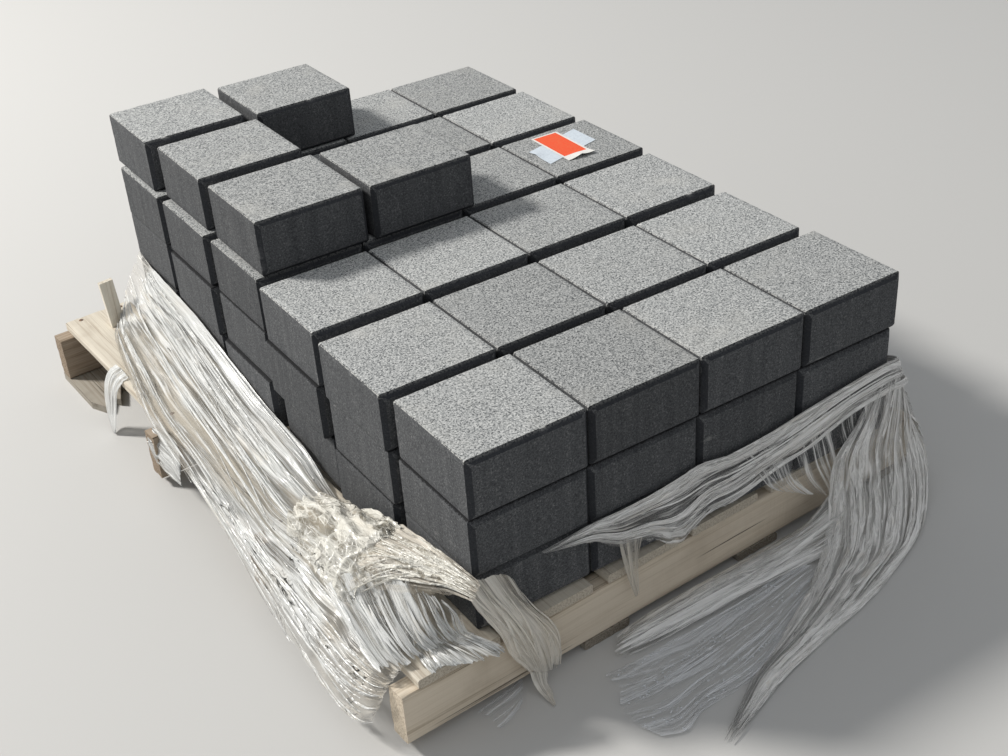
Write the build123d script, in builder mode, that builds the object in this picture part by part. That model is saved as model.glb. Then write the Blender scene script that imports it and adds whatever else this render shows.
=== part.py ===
from build123d import *
import os
from math import cos, radians, sin

# A timber pallet with three full layers of square concrete blocks, five more blocks on
# top, and the torn stretch film that is left round the foot of the load. Millimetres.
# X runs along the pallet's stringers, Y along its deck boards and Z up, and the origin is
# at the ground, under the middle of the whole outline with the film.

# Pallet timber
stringer_length = 1041.0
stringer_width = 38.0
stringer_height = 89.0
stringer_count = 4
deck_length = 1308.0
deck_thickness = 17.0
deck_board_width = 140.0
deck_board_count = 6
deck_inset = 28.0
bottom_board_width = 89.0
bottom_board_thickness = 16.0
bottom_board_count = 4
bottom_stub_length = 168.0
saw_bevel = 1.5
second_gap_shift = 24.0

# Concrete blocks
block_width = 200.0
block_length = 199.0
block_height = 99.5
block_bevel = 7.5
columns = 4
rows = 6
full_layers = 3
row_gap = 14.5
column_gap = 3.0
tight_column_gap = 1.0
top_layer_gap = 8.0
top_layer_inset = 20.0

# The stack stands a little off the pallet's middle and turned on it
stack_shift_x = 58.0
stack_shift_y = -20.0
stack_turn = -2.5

# Upright lath
lath_width = 28.0
lath_thickness = 10.0
lath_height = 100.0
lath_lean = 3.0
lath_from_side = 81.0
lath_from_end = 81.0

# Stretch film
film_thickness = 4.0
film_clearance = 2.0
film_reach_left = 26.0
film_reach_right = 26.0
film_reach_front = 267.0
ground_clearance = 0.4
drape_stand_off = 14.0
skirt_stand_off = 4.0
loop_kick = 6.0

# Sticker and paper strip
sticker_length = 131.0
sticker_width = 60.0
strip_length = 136.0
strip_width = 72.0
label_thickness = 0.6
sticker_turn = -1.5
strip_turn = 15.0
label_share_across = 0.44
label_share_along = 0.565

# Heights
bottom_top = bottom_board_thickness
stringer_top = bottom_top + stringer_height
deck_top = stringer_top + deck_thickness

# The turned load's front right corner stands out past the pallet's front
stack_wide = columns * block_width + (columns - 1) * column_gap
stack_deep = rows * block_length + (rows - 1) * row_gap
turn = radians(stack_turn)
load_front = stack_shift_y + stack_wide / 2 * sin(turn) - stack_deep / 2 * cos(turn)
load_overhang = max(0.0, -deck_length / 2 - load_front)

# The outline with the film is centred on the origin
pallet_x = (film_reach_left - film_reach_right) / 2
pallet_y = (film_reach_front + load_overhang) / 2
left_end = pallet_x - stringer_length / 2
right_end = pallet_x + stringer_length / 2
front_end = pallet_y - deck_length / 2
back_end = pallet_y + deck_length / 2
front_face = front_end - load_overhang
deck_left = left_end + deck_inset
deck_right = right_end - deck_inset

# The stack's own plane has its origin at the bottom of the load's front left corner
corner_x = pallet_x + stack_shift_x - stack_wide / 2 * cos(turn) + stack_deep / 2 * sin(turn)
corner_y = pallet_y + stack_shift_y - stack_wide / 2 * sin(turn) - stack_deep / 2 * cos(turn)
stack_plane = Plane(origin=(corner_x, corner_y, deck_top), x_dir=(cos(turn), sin(turn), 0))

os.makedirs("parts", exist_ok=True)


def save(piece, name):
    """Label a finished piece and write it."""
    piece.part.label = name
    export_step(piece.part, f"parts/{name}.step")


def board(length_x, length_y, height, place):
    """A sawn board with eased long edges, its middle at place and its underside at z."""
    x, y, z = place
    with BuildPart(Plane((x, y, z))) as piece:
        Box(length_x, length_y, height, align=(Align.CENTER, Align.CENTER, Align.MIN))
        long_way = Axis.X if length_x > length_y else Axis.Y
        chamfer(piece.edges().filter_by(long_way), saw_bevel)
    return piece


# Stringers on edge. The second from the back stands a little nearer the front.
stringer_pitch = (deck_length - stringer_width) / (stringer_count - 1)
stringer_y = [front_end + stringer_width / 2 + stringer_pitch * n for n in range(stringer_count)]
stringer_y[2] -= second_gap_shift
for number, y in enumerate(stringer_y, start=1):
    stringer = board(stringer_length, stringer_width, stringer_height, (pallet_x, y, bottom_top))
    save(stringer, f"stringer_{number}")

# Deck boards, the outer ones set in from the stringers' ends
deck_pitch = (deck_right - deck_left - deck_board_width) / (deck_board_count - 1)
for n in range(deck_board_count):
    x = deck_left + deck_board_width / 2 + deck_pitch * n
    deck = board(deck_board_width, deck_length, deck_thickness, (x, pallet_y, stringer_top))
    save(deck, f"deck_board_{n + 1}")

# Bottom boards. The first is broken off a hand's width in front of the back stringer.
bottom_pitch = (stringer_length - bottom_board_width) / (bottom_board_count - 1)
bottom_x = [left_end + bottom_board_width / 2 + bottom_pitch * n for n in range(bottom_board_count)]
for n in range(1, bottom_board_count):
    bottom = board(bottom_board_width, deck_length, bottom_board_thickness, (bottom_x[n], pallet_y, 0))
    save(bottom, f"bottom_board_{n + 1}")

with BuildPart() as stub:
    with BuildSketch():
        with BuildLine():
            tooth = bottom_stub_length / 8
            stub_left = left_end
            stub_right = left_end + bottom_board_width
            stub_front = back_end - bottom_stub_length
            Polyline(
                (stub_left, back_end),
                (stub_left, stub_front + tooth),
                (stub_left + bottom_board_width * 0.2, stub_front - tooth),
                (stub_left + bottom_board_width * 0.4, stub_front + tooth / 2),
                (stub_left + bottom_board_width * 0.55, stub_front - tooth / 2),
                (stub_left + bottom_board_width * 0.8, stub_front + tooth * 2),
                (stub_right, stub_front + tooth),
                (stub_right, back_end),
                close=True,
            )
        make_face()
    extrude(amount=bottom_board_thickness)
save(stub, "bottom_board_1")

# One block: a square slab with bevelled arrises round its front and back faces
with BuildPart() as block:
    Box(block_width, block_length, block_height, align=(Align.MIN, Align.MIN, Align.MIN))
    chamfer(block.faces().filter_by(Axis.Y).edges(), block_bevel)

# Hand-set shifts of the rows, across and along, from the front row to the back one
row_pitch = block_length + row_gap
layer_gaps = (column_gap, tight_column_gap, column_gap)
across = (
    (2.0, -4.0, 5.0, -2.0, 3.0, 0.0),
    (0.0, -3.0, -6.0, 4.0, -3.0, 2.0),
    (3.0, -7.0, -1.0, 6.0, 2.0, 0.0),
)
along = (
    (4.0, 2.0, -5.0, 6.0, 3.0, -2.0),
    (0.0, -3.0, 6.0, 2.0, -4.0, 3.0),
    (0.0, -3.0, 3.0, 4.0, 2.0, -3.0),
)


def block_row(places):
    """Blocks at places measured from the load's front left corner, turned with the stack."""
    with BuildPart(stack_plane) as row:
        with Locations(*places):
            add(block.part)
    return row


for layer in range(full_layers):
    column_pitch = block_width + layer_gaps[layer]
    for r in range(rows):
        x = across[layer][r]
        y = r * row_pitch + along[layer][r]
        z = layer * block_height
        row = block_row([(x + c * column_pitch, y, z) for c in range(columns)])
        save(row, f"layer_{layer + 1}_row_{r + 1}")

# The five blocks on top stand in a little from the left side, in the three back rows: two,
# one and two to a row, with hand-set shifts across and along
top_across = ((0.0, 4.0), (-2.0,), (-12.0, 0.0))
top_along = ((4.0, 0.0), (14.0,), (24.0, 8.0))
top_pitch = block_width + top_layer_gap
top_z = full_layers * block_height
for n, shifts in enumerate(zip(top_across, top_along)):
    r = rows - len(top_across) + n
    places = []
    for c, (shift_x, shift_y) in enumerate(zip(*shifts)):
        places.append((top_layer_inset + c * top_pitch + shift_x, r * row_pitch + shift_y, top_z))
    save(block_row(places), f"layer_4_row_{r + 1}")

# The lath that stands on the far end of the left deck board, leaning out a little. Its lower
# corner touches the board.
lean = radians(lath_lean)
lath_x = deck_left + lath_from_side
lath_y = back_end - lath_from_end
lath_plane = Plane(
    origin=(lath_x, lath_y, deck_top + lath_width / 2 * sin(lean)),
    x_dir=(cos(lean), 0, sin(lean)),
    z_dir=(-sin(lean), 0, cos(lean)),
)
with BuildPart(lath_plane) as lath:
    Box(lath_width, lath_thickness, lath_height, align=(Align.CENTER, Align.CENTER, Align.MIN))
save(lath, "upright_lath")

# Paper strip and sticker on the fourth block of the third layer's fourth row
label_block = 3
label_x = label_block * (block_width + column_gap) + across[-1][label_block]
label_y = label_block * row_pitch + along[-1][label_block]
label_x += block_width * label_share_across
label_y += block_length * label_share_along


def paper(length_x, length_y, z, angle):
    """A flat rectangle of paper on the block's top."""
    with BuildPart(stack_plane.offset(z)) as piece:
        with Locations(Location((label_x, label_y, 0), (0, 0, angle))):
            Box(length_x, length_y, label_thickness, align=(Align.CENTER, Align.CENTER, Align.MIN))
    return piece


save(paper(strip_length, strip_width, top_z, strip_turn), "paper_strip")
save(paper(sticker_width, sticker_length, top_z + label_thickness, sticker_turn), "sticker")


def on_stack(x, y, z=0.0):
    """A point measured from the load's front left bottom corner, in the model's frame."""
    return stack_plane.from_local_coords(Vector(x, y, z))


def draped_film(name, sections, inward=1):
    """Film drawn through sections of (plane, points), each a line from its top to its foot."""
    step = film_thickness * sin(radians(45))
    with BuildPart() as sheet:
        for plane, points in sections:
            inner = [(a + inward * step, b - step) for a, b in points]
            with BuildSketch(plane):
                with BuildLine():
                    Polyline(*points, *reversed(inner), close=True)
                make_face()
        loft(ruled=True)
    save(sheet, name)


def flat_film(name, corners, facing, thickness=film_thickness):
    """A flat piece of film through corner points, the first three of which give its plane."""
    a, b, c = corners[:3]
    normal = (b - a).cross(c - b)
    if normal.dot(Vector(*facing)) < 0:
        normal = -normal
    plane = Plane(origin=a, x_dir=b - a, z_dir=normal)
    outline = [plane.to_local_coords(corner) for corner in corners]
    with BuildPart() as sheet:
        with BuildSketch(plane):
            with BuildLine():
                Polyline(*[(point.X, point.Y) for point in outline], close=True)
            make_face()
        extrude(amount=thickness)
    save(sheet, name)


front = (0, -1, 0)
up = (0, 0, 1)

# The left drape leans from the blocks' side down to the deck's left edge, ends in front of
# the lath, and bunches up over the lowest layer near the front corner: (along the load,
# rise, bulge, reach)
side_gap = film_clearance + film_thickness
head_gap = side_gap + drape_stand_off
lath_front = lath_y - lath_thickness / 2 - side_gap
drape_end = stack_plane.to_local_coords(Vector(lath_x, lath_front, deck_top)).Y
left_stations = (
    (drape_end, 100.0, 0.58, 90.0),
    (1050.0, 84.0, 0.45, 140.0),
    (800.0, 56.0, 0.45, 150.0),
    (540.0, 30.0, 0.62, 158.0),
    (330.0, 34.0, 0.7, 160.0),
    (240.0, 94.0, 0.8, 160.0),
    (45.0, 97.0, 0.7, 160.0),
)
film_on_deck = deck_top + film_clearance + film_thickness
sections = []
for y, rise, bulge, reach in left_stations:
    head = on_stack(-head_gap, y)
    foot_x = max(head.X - reach, deck_left + film_clearance)
    knee = ((head.X + foot_x) / 2, film_on_deck + rise * bulge)
    line = [(head.X, film_on_deck + rise), knee, (foot_x, film_on_deck)]
    sections.append((Plane.XZ.offset(-head.Y), line))
draped_film("film_left_drape", sections)

# The skirt hangs from the deck's left edge past the stringers' ends: (along the load, foot
# height, share of the reach)
skirt_stations = (
    (565.0, 92.0, 0.3),
    (495.0, 62.0, 0.35),
    (385.0, 36.0, 0.5),
    (250.0, 22.0, 0.7),
    (120.0, 22.0, 1.0),
    (45.0, 56.0, 0.95),
)
skirt_x = left_end - side_gap - skirt_stand_off
skirt_room = film_reach_left - side_gap - skirt_stand_off
sections = []
for y, foot_z, share in skirt_stations:
    lip = (deck_left - side_gap, deck_top + film_clearance)
    shoulder = (skirt_x, stringer_top + skirt_stand_off)
    foot = (skirt_x - skirt_room * share, foot_z)
    sections.append((Plane.XZ.offset(-on_stack(-head_gap, y).Y), [lip, shoulder, foot]))
draped_film("film_left_skirt", sections)

# The loop goes round the front left corner, over the deck boards' ends and down in front of
# the pallet or the load, whichever stands further out: (across, rise, foot height)
loop_stations = (
    (-4.0, 100.0, 66.0),
    (50.0, 88.0, 20.0),
    (78.0, 44.0, 12.0),
    (108.0, 12.0, 20.0),
)
sections = []
for x, rise, foot_z in loop_stations:
    head = on_stack(x, -side_gap)
    face_y = min(head.Y, front_end - side_gap)
    line = [(head.Y, film_on_deck + rise), (face_y, film_on_deck), (face_y - loop_kick, foot_z)]
    sections.append((Plane.YZ.offset(head.X), line))
draped_film("film_corner_loop", sections)

# The band clings to the blocks' front from a torn tip to the right corner
band_outline = (
    (110.0, 106.0),
    (190.0, 74.0),
    (245.0, 30.0),
    (320.0, 8.0),
    (500.0, 8.0),
    (610.0, 16.0),
    (806.0, 92.0),
    (806.0, 164.0),
    (600.0, 137.0),
    (430.0, 133.0),
    (290.0, 126.0),
    (205.0, 111.0),
)
flat_film("film_front_band", [on_stack(x, -side_gap, z) for x, z in band_outline], front)

# The right drape leans from the blocks' right side over the deck and the stringers' ends:
# (along the load, rise, foot height)
right_stations = (
    (2.0, 120.0, 40.0),
    (140.0, 96.0, 14.0),
    (280.0, 62.0, 30.0),
    (360.0, 28.0, 66.0),
)
sections = []
for y, rise, foot_z in right_stations:
    head = on_stack(stack_wide + head_gap, y)
    line = [
        (head.X, film_on_deck + rise),
        (max(deck_right, head.X) + side_gap, film_on_deck),
        (max(right_end, head.X) + side_gap + skirt_stand_off, stringer_top),
        (max(right_end, head.X) + film_reach_right, foot_z),
    ]
    sections.append((Plane.XZ.offset(-head.Y), line))
draped_film("film_right_drape", sections, inward=-1)

# The fan falls from the front right corner, sweeps to the left along the ground and narrows
# to a tail: (share of the pallet's width, ridge's share of the reach in front, ridge's
# height, foot's share of the reach in front)
fan_stations = (
    (0.976, 0.03, 118.0, 0.18),
    (0.872, 0.05, 70.0, 0.345),
    (0.829, 0.085, 38.0, 0.495),
    (0.751, 0.145, 22.0, 0.565),
    (0.678, 0.22, 14.0, 0.66),
    (0.629, 0.365, 10.0, 0.69),
    (0.528, 0.65, 9.0, 0.735),
    (0.453, 0.715, 8.0, 0.79),
)


def on_ground(share_across, share_in_front):
    """A point on the ground, by its shares of the pallet's width and of the reach in front."""
    x = left_end + stringer_length * share_across
    return Vector(x, front_face - film_reach_front * share_in_front, ground_clearance)


sections = []
for share_across, ridge, ridge_z, foot in fan_stations:
    ridge_point = on_ground(share_across, ridge)
    foot_point = on_ground(share_across, foot)
    line = [(ridge_point.Y, ridge_z), (foot_point.Y, foot_point.Z + film_thickness)]
    sections.append((Plane.YZ.offset(foot_point.X), line))
draped_film("film_right_fan", sections)

# On the ground in front: a bundle, a clear sheet and a strip trailing from the fan's tail
bundle_outline = (
    (0.329, 0.06),
    (0.336, 0.14),
    (0.524, 0.18),
    (0.663, 0.18),
    (0.663, 0.07),
    (0.363, 0.005),
)
sheet_outline = (
    (0.286, 0.16),
    (0.291, 0.37),
    (0.263, 0.43),
    (0.269, 0.68),
    (0.306, 0.745),
    (0.355, 0.71),
    (0.437, 0.67),
    (0.538, 0.58),
    (0.6, 0.355),
    (0.448, 0.28),
    (0.365, 0.22),
)
strip_outline = (
    (0.325, 0.92),
    (0.338, 1.0),
    (0.444, 0.835),
    (0.438, 0.77),
)
bundle_height = 14.0
sheet_height = 2.0
strip_height = 3.0
flat_film("film_ground_bundle", [on_ground(x, y) for x, y in bundle_outline], up, bundle_height)
flat_film("film_ground_sheet", [on_ground(x, y) for x, y in sheet_outline], up, sheet_height)
flat_film("film_trailing_strip", [on_ground(x, y) for x, y in strip_outline], up, strip_height)

# Two narrow strips hang from the deck's left edge: (name, along the load, width, foot height)
hanging_strips = (
    ("film_strip_far", 985.0, 34.0, 6.0),
    ("film_strip_near", 742.0, 40.0, 14.0),
)
strip_x = deck_left - film_clearance
strip_top = deck_top - film_clearance
for name, y, width, foot_z in hanging_strips:
    low = on_stack(-head_gap, y).Y
    corners = [
        Vector(strip_x, low, strip_top),
        Vector(strip_x, low + width, strip_top),
        Vector(strip_x, low + width * 0.55, foot_z),
        Vector(strip_x, low + width * 0.3, foot_z),
    ]
    flat_film(name, corners, (-1, 0, 0), film_thickness / 2)
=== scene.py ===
# %% [markdown]
# # A pallet of concrete blocks in torn stretch film
#
# A timber pallet carries three full layers of square concrete blocks and five blocks of a
# fourth, and what is left of its stretch film lies crumpled round the foot. The frame
# gives every size and place. The lesson makes the blocks and boards rough and worn, drives
# the nails, lays the labels and drapes the film.

# %% Load the frame
from math import cos, radians, sin

import bpy
import numpy as np
from mathutils import Matrix, Vector


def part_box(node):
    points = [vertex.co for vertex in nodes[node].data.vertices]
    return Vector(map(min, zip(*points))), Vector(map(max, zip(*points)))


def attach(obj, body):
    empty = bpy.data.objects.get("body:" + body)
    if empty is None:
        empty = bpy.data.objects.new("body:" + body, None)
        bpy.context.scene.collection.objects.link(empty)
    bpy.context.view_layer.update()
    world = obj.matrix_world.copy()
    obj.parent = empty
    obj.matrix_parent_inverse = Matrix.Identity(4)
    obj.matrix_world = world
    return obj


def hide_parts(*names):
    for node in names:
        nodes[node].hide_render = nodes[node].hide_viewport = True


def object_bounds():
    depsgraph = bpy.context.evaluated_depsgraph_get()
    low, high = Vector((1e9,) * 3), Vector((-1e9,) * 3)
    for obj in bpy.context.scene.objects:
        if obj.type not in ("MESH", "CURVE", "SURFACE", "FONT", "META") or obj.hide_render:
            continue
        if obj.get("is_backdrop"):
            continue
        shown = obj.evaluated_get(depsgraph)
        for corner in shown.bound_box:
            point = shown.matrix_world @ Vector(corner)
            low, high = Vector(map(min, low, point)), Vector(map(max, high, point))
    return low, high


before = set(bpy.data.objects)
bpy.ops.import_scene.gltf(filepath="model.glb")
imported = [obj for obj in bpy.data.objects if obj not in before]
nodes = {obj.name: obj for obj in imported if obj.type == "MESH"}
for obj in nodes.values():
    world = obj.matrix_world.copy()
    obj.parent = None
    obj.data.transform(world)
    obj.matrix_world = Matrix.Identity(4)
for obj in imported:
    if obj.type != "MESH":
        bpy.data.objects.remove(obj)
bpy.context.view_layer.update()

# %% [markdown]
# ## The load's own axes
#
# The stack stands turned a little on its pallet. Places on the load and on the film are
# given in the stack's own axes, in millimetres: x to the right and y to the back from the
# front left corner, and z up from the top of the deck. One function turns such a place
# into the frame, so nothing is fitted by eye.

# %% Axes of the load
MM = 0.001
stack_turn = radians(-2.5)
across_axis = np.array([cos(stack_turn), sin(stack_turn)])
along_axis = np.array([-sin(stack_turn), cos(stack_turn)])
deck_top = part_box("deck_board_1")[1].z
course_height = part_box("layer_1_row_1")[1].z - deck_top


def mesh_points(name):
    """The points of a node's mesh, in the frame."""
    data = nodes[name].data
    points = np.zeros(len(data.vertices) * 3, np.float32)
    data.vertices.foreach_get("co", points)
    return points.reshape(-1, 3).astype(float)


def turned(points):
    """Points of the frame along the stack's axes."""
    flat = points[:, :2]
    return np.column_stack([flat @ across_axis, flat @ along_axis, points[:, 2]])


corner = turned(mesh_points("layer_2_row_1")).min(0)


def on_stack(points):
    """Places on the load, in its own millimetres, as points of the frame in metres."""
    points = np.asarray(points, float) * MM
    x = corner[0] + points[..., 0:1]
    y = corner[1] + points[..., 1:2]
    flat = x * across_axis + y * along_axis
    return np.concatenate([flat, points[..., 2:3] + deck_top], axis=-1)


print("front left corner of the load", np.round(on_stack([0, 0, 0]), 3))

# %% [markdown]
# ## Short hands for nodes
#
# Every finish below is a small tree of shader nodes. These helpers add a node, set or link
# its inputs and give back its output, so that a material reads as a list of what it is
# made of.

# %% Node helpers


def feed(tree, socket, value):
    """Links a value that is another node's output, and otherwise sets it."""
    if isinstance(value, bpy.types.NodeSocket):
        tree.links.new(value, socket)
    else:
        socket.default_value = value


def add(tree, kind, inputs=None, **settings):
    """A new node with its settings and its inputs by name."""
    made = tree.nodes.new(kind)
    for name, value in settings.items():
        setattr(made, name, value)
    for name, value in (inputs or {}).items():
        feed(tree, made.inputs[name], value)
    return made


def calc(tree, operation, first, second=0.0, clamp=False):
    """One step of arithmetic on numbers or sockets."""
    made = add(tree, "ShaderNodeMath", operation=operation, use_clamp=clamp)
    feed(tree, made.inputs[0], first)
    feed(tree, made.inputs[1], second)
    return made.outputs[0]


def times(tree, first, second):
    return calc(tree, "MULTIPLY", first, second)


def plus(tree, first, second, clamp=False):
    return calc(tree, "ADD", first, second, clamp)


def minus(tree, first, second):
    return calc(tree, "SUBTRACT", first, second)


def vector_calc(tree, operation, first, second):
    """One step of arithmetic on two vectors."""
    made = add(tree, "ShaderNodeVectorMath", operation=operation)
    feed(tree, made.inputs[0], first)
    feed(tree, made.inputs[1], second)
    return made.outputs["Value" if operation == "DOT_PRODUCT" else "Vector"]


def scaled(tree, vector, factors):
    """A vector times a factor for each axis, to stretch a pattern."""
    return vector_calc(tree, "MULTIPLY", vector, factors)


def noise(tree, vector, scale, detail=3.0, roughness=0.55, distortion=0.0):
    """Grey noise from nought to one."""
    inputs = {"Vector": vector, "Scale": scale, "Detail": detail, "Roughness": roughness}
    made = add(tree, "ShaderNodeTexNoise", {**inputs, "Distortion": distortion})
    return made.outputs["Fac"]


def ramp(tree, value, *stops):
    """A colour ramp through (position, grey or colour) stops."""
    made = add(tree, "ShaderNodeValToRGB", {"Fac": value})
    band = made.color_ramp
    while len(band.elements) < len(stops):
        band.elements.new(0.5)
    for element, (position, colour) in zip(band.elements, stops):
        element.position = position
        rgb = (colour,) * 3 if isinstance(colour, float) else colour
        element.color = (*rgb, 1.0)
    return made.outputs["Color"]


def mixed(tree, factor, first, second, how="MIX"):
    """Two colours mixed by a factor."""
    made = add(tree, "ShaderNodeMix", data_type="RGBA", blend_type=how)
    feed(tree, made.inputs[0], factor)
    for socket, value in ((made.inputs[6], first), (made.inputs[7], second)):
        if isinstance(value, tuple):
            value = (*value, 1.0)
        feed(tree, socket, value)
    return made.outputs[2]


def faded(tree, value, low, high):
    """Nought below low, one above high, and smooth between."""
    inputs = {"Value": value, "From Min": low, "From Max": high}
    return add(tree, "ShaderNodeMapRange", inputs, interpolation_type="SMOOTHSTEP").outputs["Result"]


def new_finish(name, **shader_inputs):
    """A material with one principled shader, and the tree, the shader and object coordinates."""
    material = bpy.data.materials.new(name)
    material.use_nodes = True
    tree = material.node_tree
    tree.nodes.clear()
    shader = add(tree, "ShaderNodeBsdfPrincipled")
    for label, value in shader_inputs.items():
        shader.inputs[label.replace("_", " ")].default_value = value
    output = add(tree, "ShaderNodeOutputMaterial")
    tree.links.new(shader.outputs[0], output.inputs["Surface"])
    place = add(tree, "ShaderNodeTexCoord").outputs["Object"]
    return material, tree, shader, place


def attribute(tree, name):
    """A number that the shape carries on its points."""
    return add(tree, "ShaderNodeAttribute", attribute_name=name).outputs["Fac"]


def facing_part(tree, axis):
    """How far a face looks along an axis, from minus one to one."""
    normal = add(tree, "ShaderNodeNewGeometry").outputs["Normal"]
    return add(tree, "ShaderNodeSeparateXYZ", {"Vector": normal}).outputs[axis]


def bumped(tree, height, strength, distance):
    """A normal that follows a height, of so many metres."""
    inputs = {"Height": height, "Strength": strength, "Distance": distance}
    return add(tree, "ShaderNodeBump", inputs).outputs["Normal"]


# %% [markdown]
# ## Concrete
#
# Pressed concrete is smooth and charcoal on its moulded sides, with faint marks where the
# mould slid off, and open and speckled on top, where loose grit stays pale with dust. The
# tops are also painted lighter for the light that falls on them. The finish reads which way
# a face looks and mixes the two, and reads two attributes that the shape carries: how near
# an arris is, and a tone of its own for each block. Shade is painted on the bevels and as
# shadow in the joints between courses, and the pale crumbs on open arrises are partly a
# painted highlight.

# %% Colours of concrete
dust_pale = (0.49, 0.485, 0.46)
bloom_pale = (0.74, 0.735, 0.71)
scuff_pale = (0.5, 0.5, 0.48)
# pale crumbs on the arrises, partly chipped grit and partly a painted highlight
crumb_and_highlight_pale = (0.56, 0.56, 0.54)
# painted shade for the bevel faces
painted_bevel_shade = (0.018, 0.020, 0.025)
# painted shadow for the joints between courses
painted_joint_shadow = (0.008, 0.008, 0.009)
covered_courses = 2.5
print("blocks below course", covered_courses, "carry another, course height", round(course_height, 4))

# %% Grain, dust and painted light on the tops
concrete, tree, shader, place = new_finish("charcoal_concrete", Roughness=0.92)
shader.inputs["Specular IOR Level"].default_value = 0.25
tone = attribute(tree, "block_tone")
arris = attribute(tree, "arris")
grit = noise(tree, place, 760.0, 3.0, 0.75)
coarse = noise(tree, place, 330.0, 3.0, 0.65)
dust = noise(tree, place, 7.0, 5.0, 0.65)
drag = noise(tree, scaled(tree, place, (70.0, 70.0, 5.0)), 1.0, 3.0)
grains = plus(tree, times(tree, grit, 0.5), times(tree, coarse, 0.5))
# Painted light: the tops are painted much lighter than the sides, partly for their real pale dust and open
# grit and partly for the light that falls on them.
top_grain_with_painted_light = ramp(
    tree,
    grains,
    (0.38, (0.020, 0.022, 0.026)),
    (0.44, (0.140, 0.150, 0.155)),
    (0.49, (0.380, 0.390, 0.392)),
    (0.56, (0.560, 0.568, 0.562)),
    (0.66, (0.830, 0.835, 0.815)),
)
dusty = mixed(tree, faded(tree, dust, 0.48, 0.75), top_grain_with_painted_light, dust_pale)
top_dust_and_painted_light = mixed(tree, 0.36, top_grain_with_painted_light, dusty)
bloom = times(tree, faded(tree, dust, 0.60, 0.74), 0.22)
top_dust_and_painted_light = mixed(tree, bloom, top_dust_and_painted_light, bloom_pale)
drawn_grains = plus(tree, times(tree, grains, 0.88), times(tree, drag, 0.12))
side_grain = ramp(
    tree,
    drawn_grains,
    (0.38, (0.030, 0.031, 0.034)),
    (0.49, (0.076, 0.079, 0.084)),
    (0.57, (0.115, 0.118, 0.122)),
    (0.68, (0.34, 0.34, 0.34)),
)
print(concrete.name, "has", len(tree.nodes), "nodes so far")

# %% Courses, scuffs, painted bevel shade and painted joint shadow
rise = add(tree, "ShaderNodeSeparateXYZ", {"Vector": place}).outputs["Z"]
courses = calc(tree, "DIVIDE", minus(tree, rise, deck_top), course_height)
open_above = calc(tree, "GREATER_THAN", courses, covered_courses)
looks_up = times(tree, faded(tree, facing_part(tree, "Z"), 0.78, 0.95), open_above)
body_colour = mixed(tree, looks_up, side_grain, top_dust_and_painted_light)
scuffs = noise(tree, scaled(tree, place, (18.0, 30.0, 60.0)), 1.0, 4.0, 0.7)
scuffed = times(tree, faded(tree, scuffs, 0.66, 0.78), 0.35)
body_colour = mixed(tree, scuffed, body_colour, scuff_pale)
course = calc(tree, "FRACT", courses)
below_top = minus(tree, 1.0, course)
# Pale crumbs along the open top arrises: partly real chipped grit, partly a painted highlight where light
# catches the arris. Covered courses get none.
crumbs_and_highlight = times(tree, faded(tree, arris, 0.75, 0.95), faded(tree, coarse, 0.42, 0.54))
crumbs_and_highlight = times(tree, crumbs_and_highlight, calc(tree, "LESS_THAN", below_top, 0.06))
crumbs_and_highlight = times(tree, crumbs_and_highlight, open_above)
body_colour = mixed(tree, times(tree, crumbs_and_highlight, 0.85), body_colour, crumb_and_highlight_pale)
# Painted shade: the bevel faces are painted dark for the shade that falls in the grooves between blocks,
# three quarters of the way, and the upward bevels of covered courses a quarter of the way.
normal = add(tree, "ShaderNodeNewGeometry").outputs["Normal"]
lengthwise = vector_calc(tree, "DOT_PRODUCT", normal, (*along_axis, 0.0))
lengthwise = calc(tree, "ABSOLUTE", lengthwise)
past_flat = calc(tree, "GREATER_THAN", lengthwise, 0.45)
bevelled = times(tree, past_flat, calc(tree, "LESS_THAN", lengthwise, 0.88))
bevel_up = calc(tree, "GREATER_THAN", facing_part(tree, "Z"), 0.3)
covered_bevel = times(tree, bevel_up, minus(tree, 1.0, open_above))
bevelled = times(tree, bevelled, minus(tree, 0.75, times(tree, covered_bevel, 0.5)))
body_colour = mixed(tree, bevelled, body_colour, painted_bevel_shade)
# Painted shadow: a thin ragged dark line where one course meets the next, on upright faces and on the covered
# courses, for the shade in the joint.
ragged = times(tree, faded(tree, coarse, 0.35, 0.65), 0.02)
beside = calc(tree, "MINIMUM", course, plus(tree, below_top, open_above))
joint_shadow = calc(tree, "LESS_THAN", beside, plus(tree, ragged, 0.005))
upright = calc(tree, "LESS_THAN", calc(tree, "ABSOLUTE", facing_part(tree, "Z")), 0.6)
joint_shadow = times(tree, joint_shadow, calc(tree, "MAXIMUM", upright, minus(tree, 1.0, open_above)))
body_colour = mixed(tree, times(tree, joint_shadow, 0.9), body_colour, painted_joint_shadow)
tinted = mixed(tree, 1.0, body_colour, ramp(tree, tone, (0.0, 0.84), (1.0, 1.14)), "MULTIPLY")
feed(tree, shader.inputs["Base Color"], tinted)
grain_height = times(tree, grains, plus(tree, times(tree, looks_up, 0.85), 0.15))
feed(tree, shader.inputs["Normal"], bumped(tree, grain_height, 0.9, 0.0020))
print("concrete nodes", len(tree.nodes))

# %% [markdown]
# ## A way to run a node tree
#
# Shapes that repeat, or that roughen by a rule, are made by Geometry Nodes. A tree is
# built once, with named inputs for its sizes. It runs on a carrier mesh, and its result is
# kept as a plain mesh, so that nothing depends on the modifier afterwards.

# %% Geometry node helpers


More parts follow.
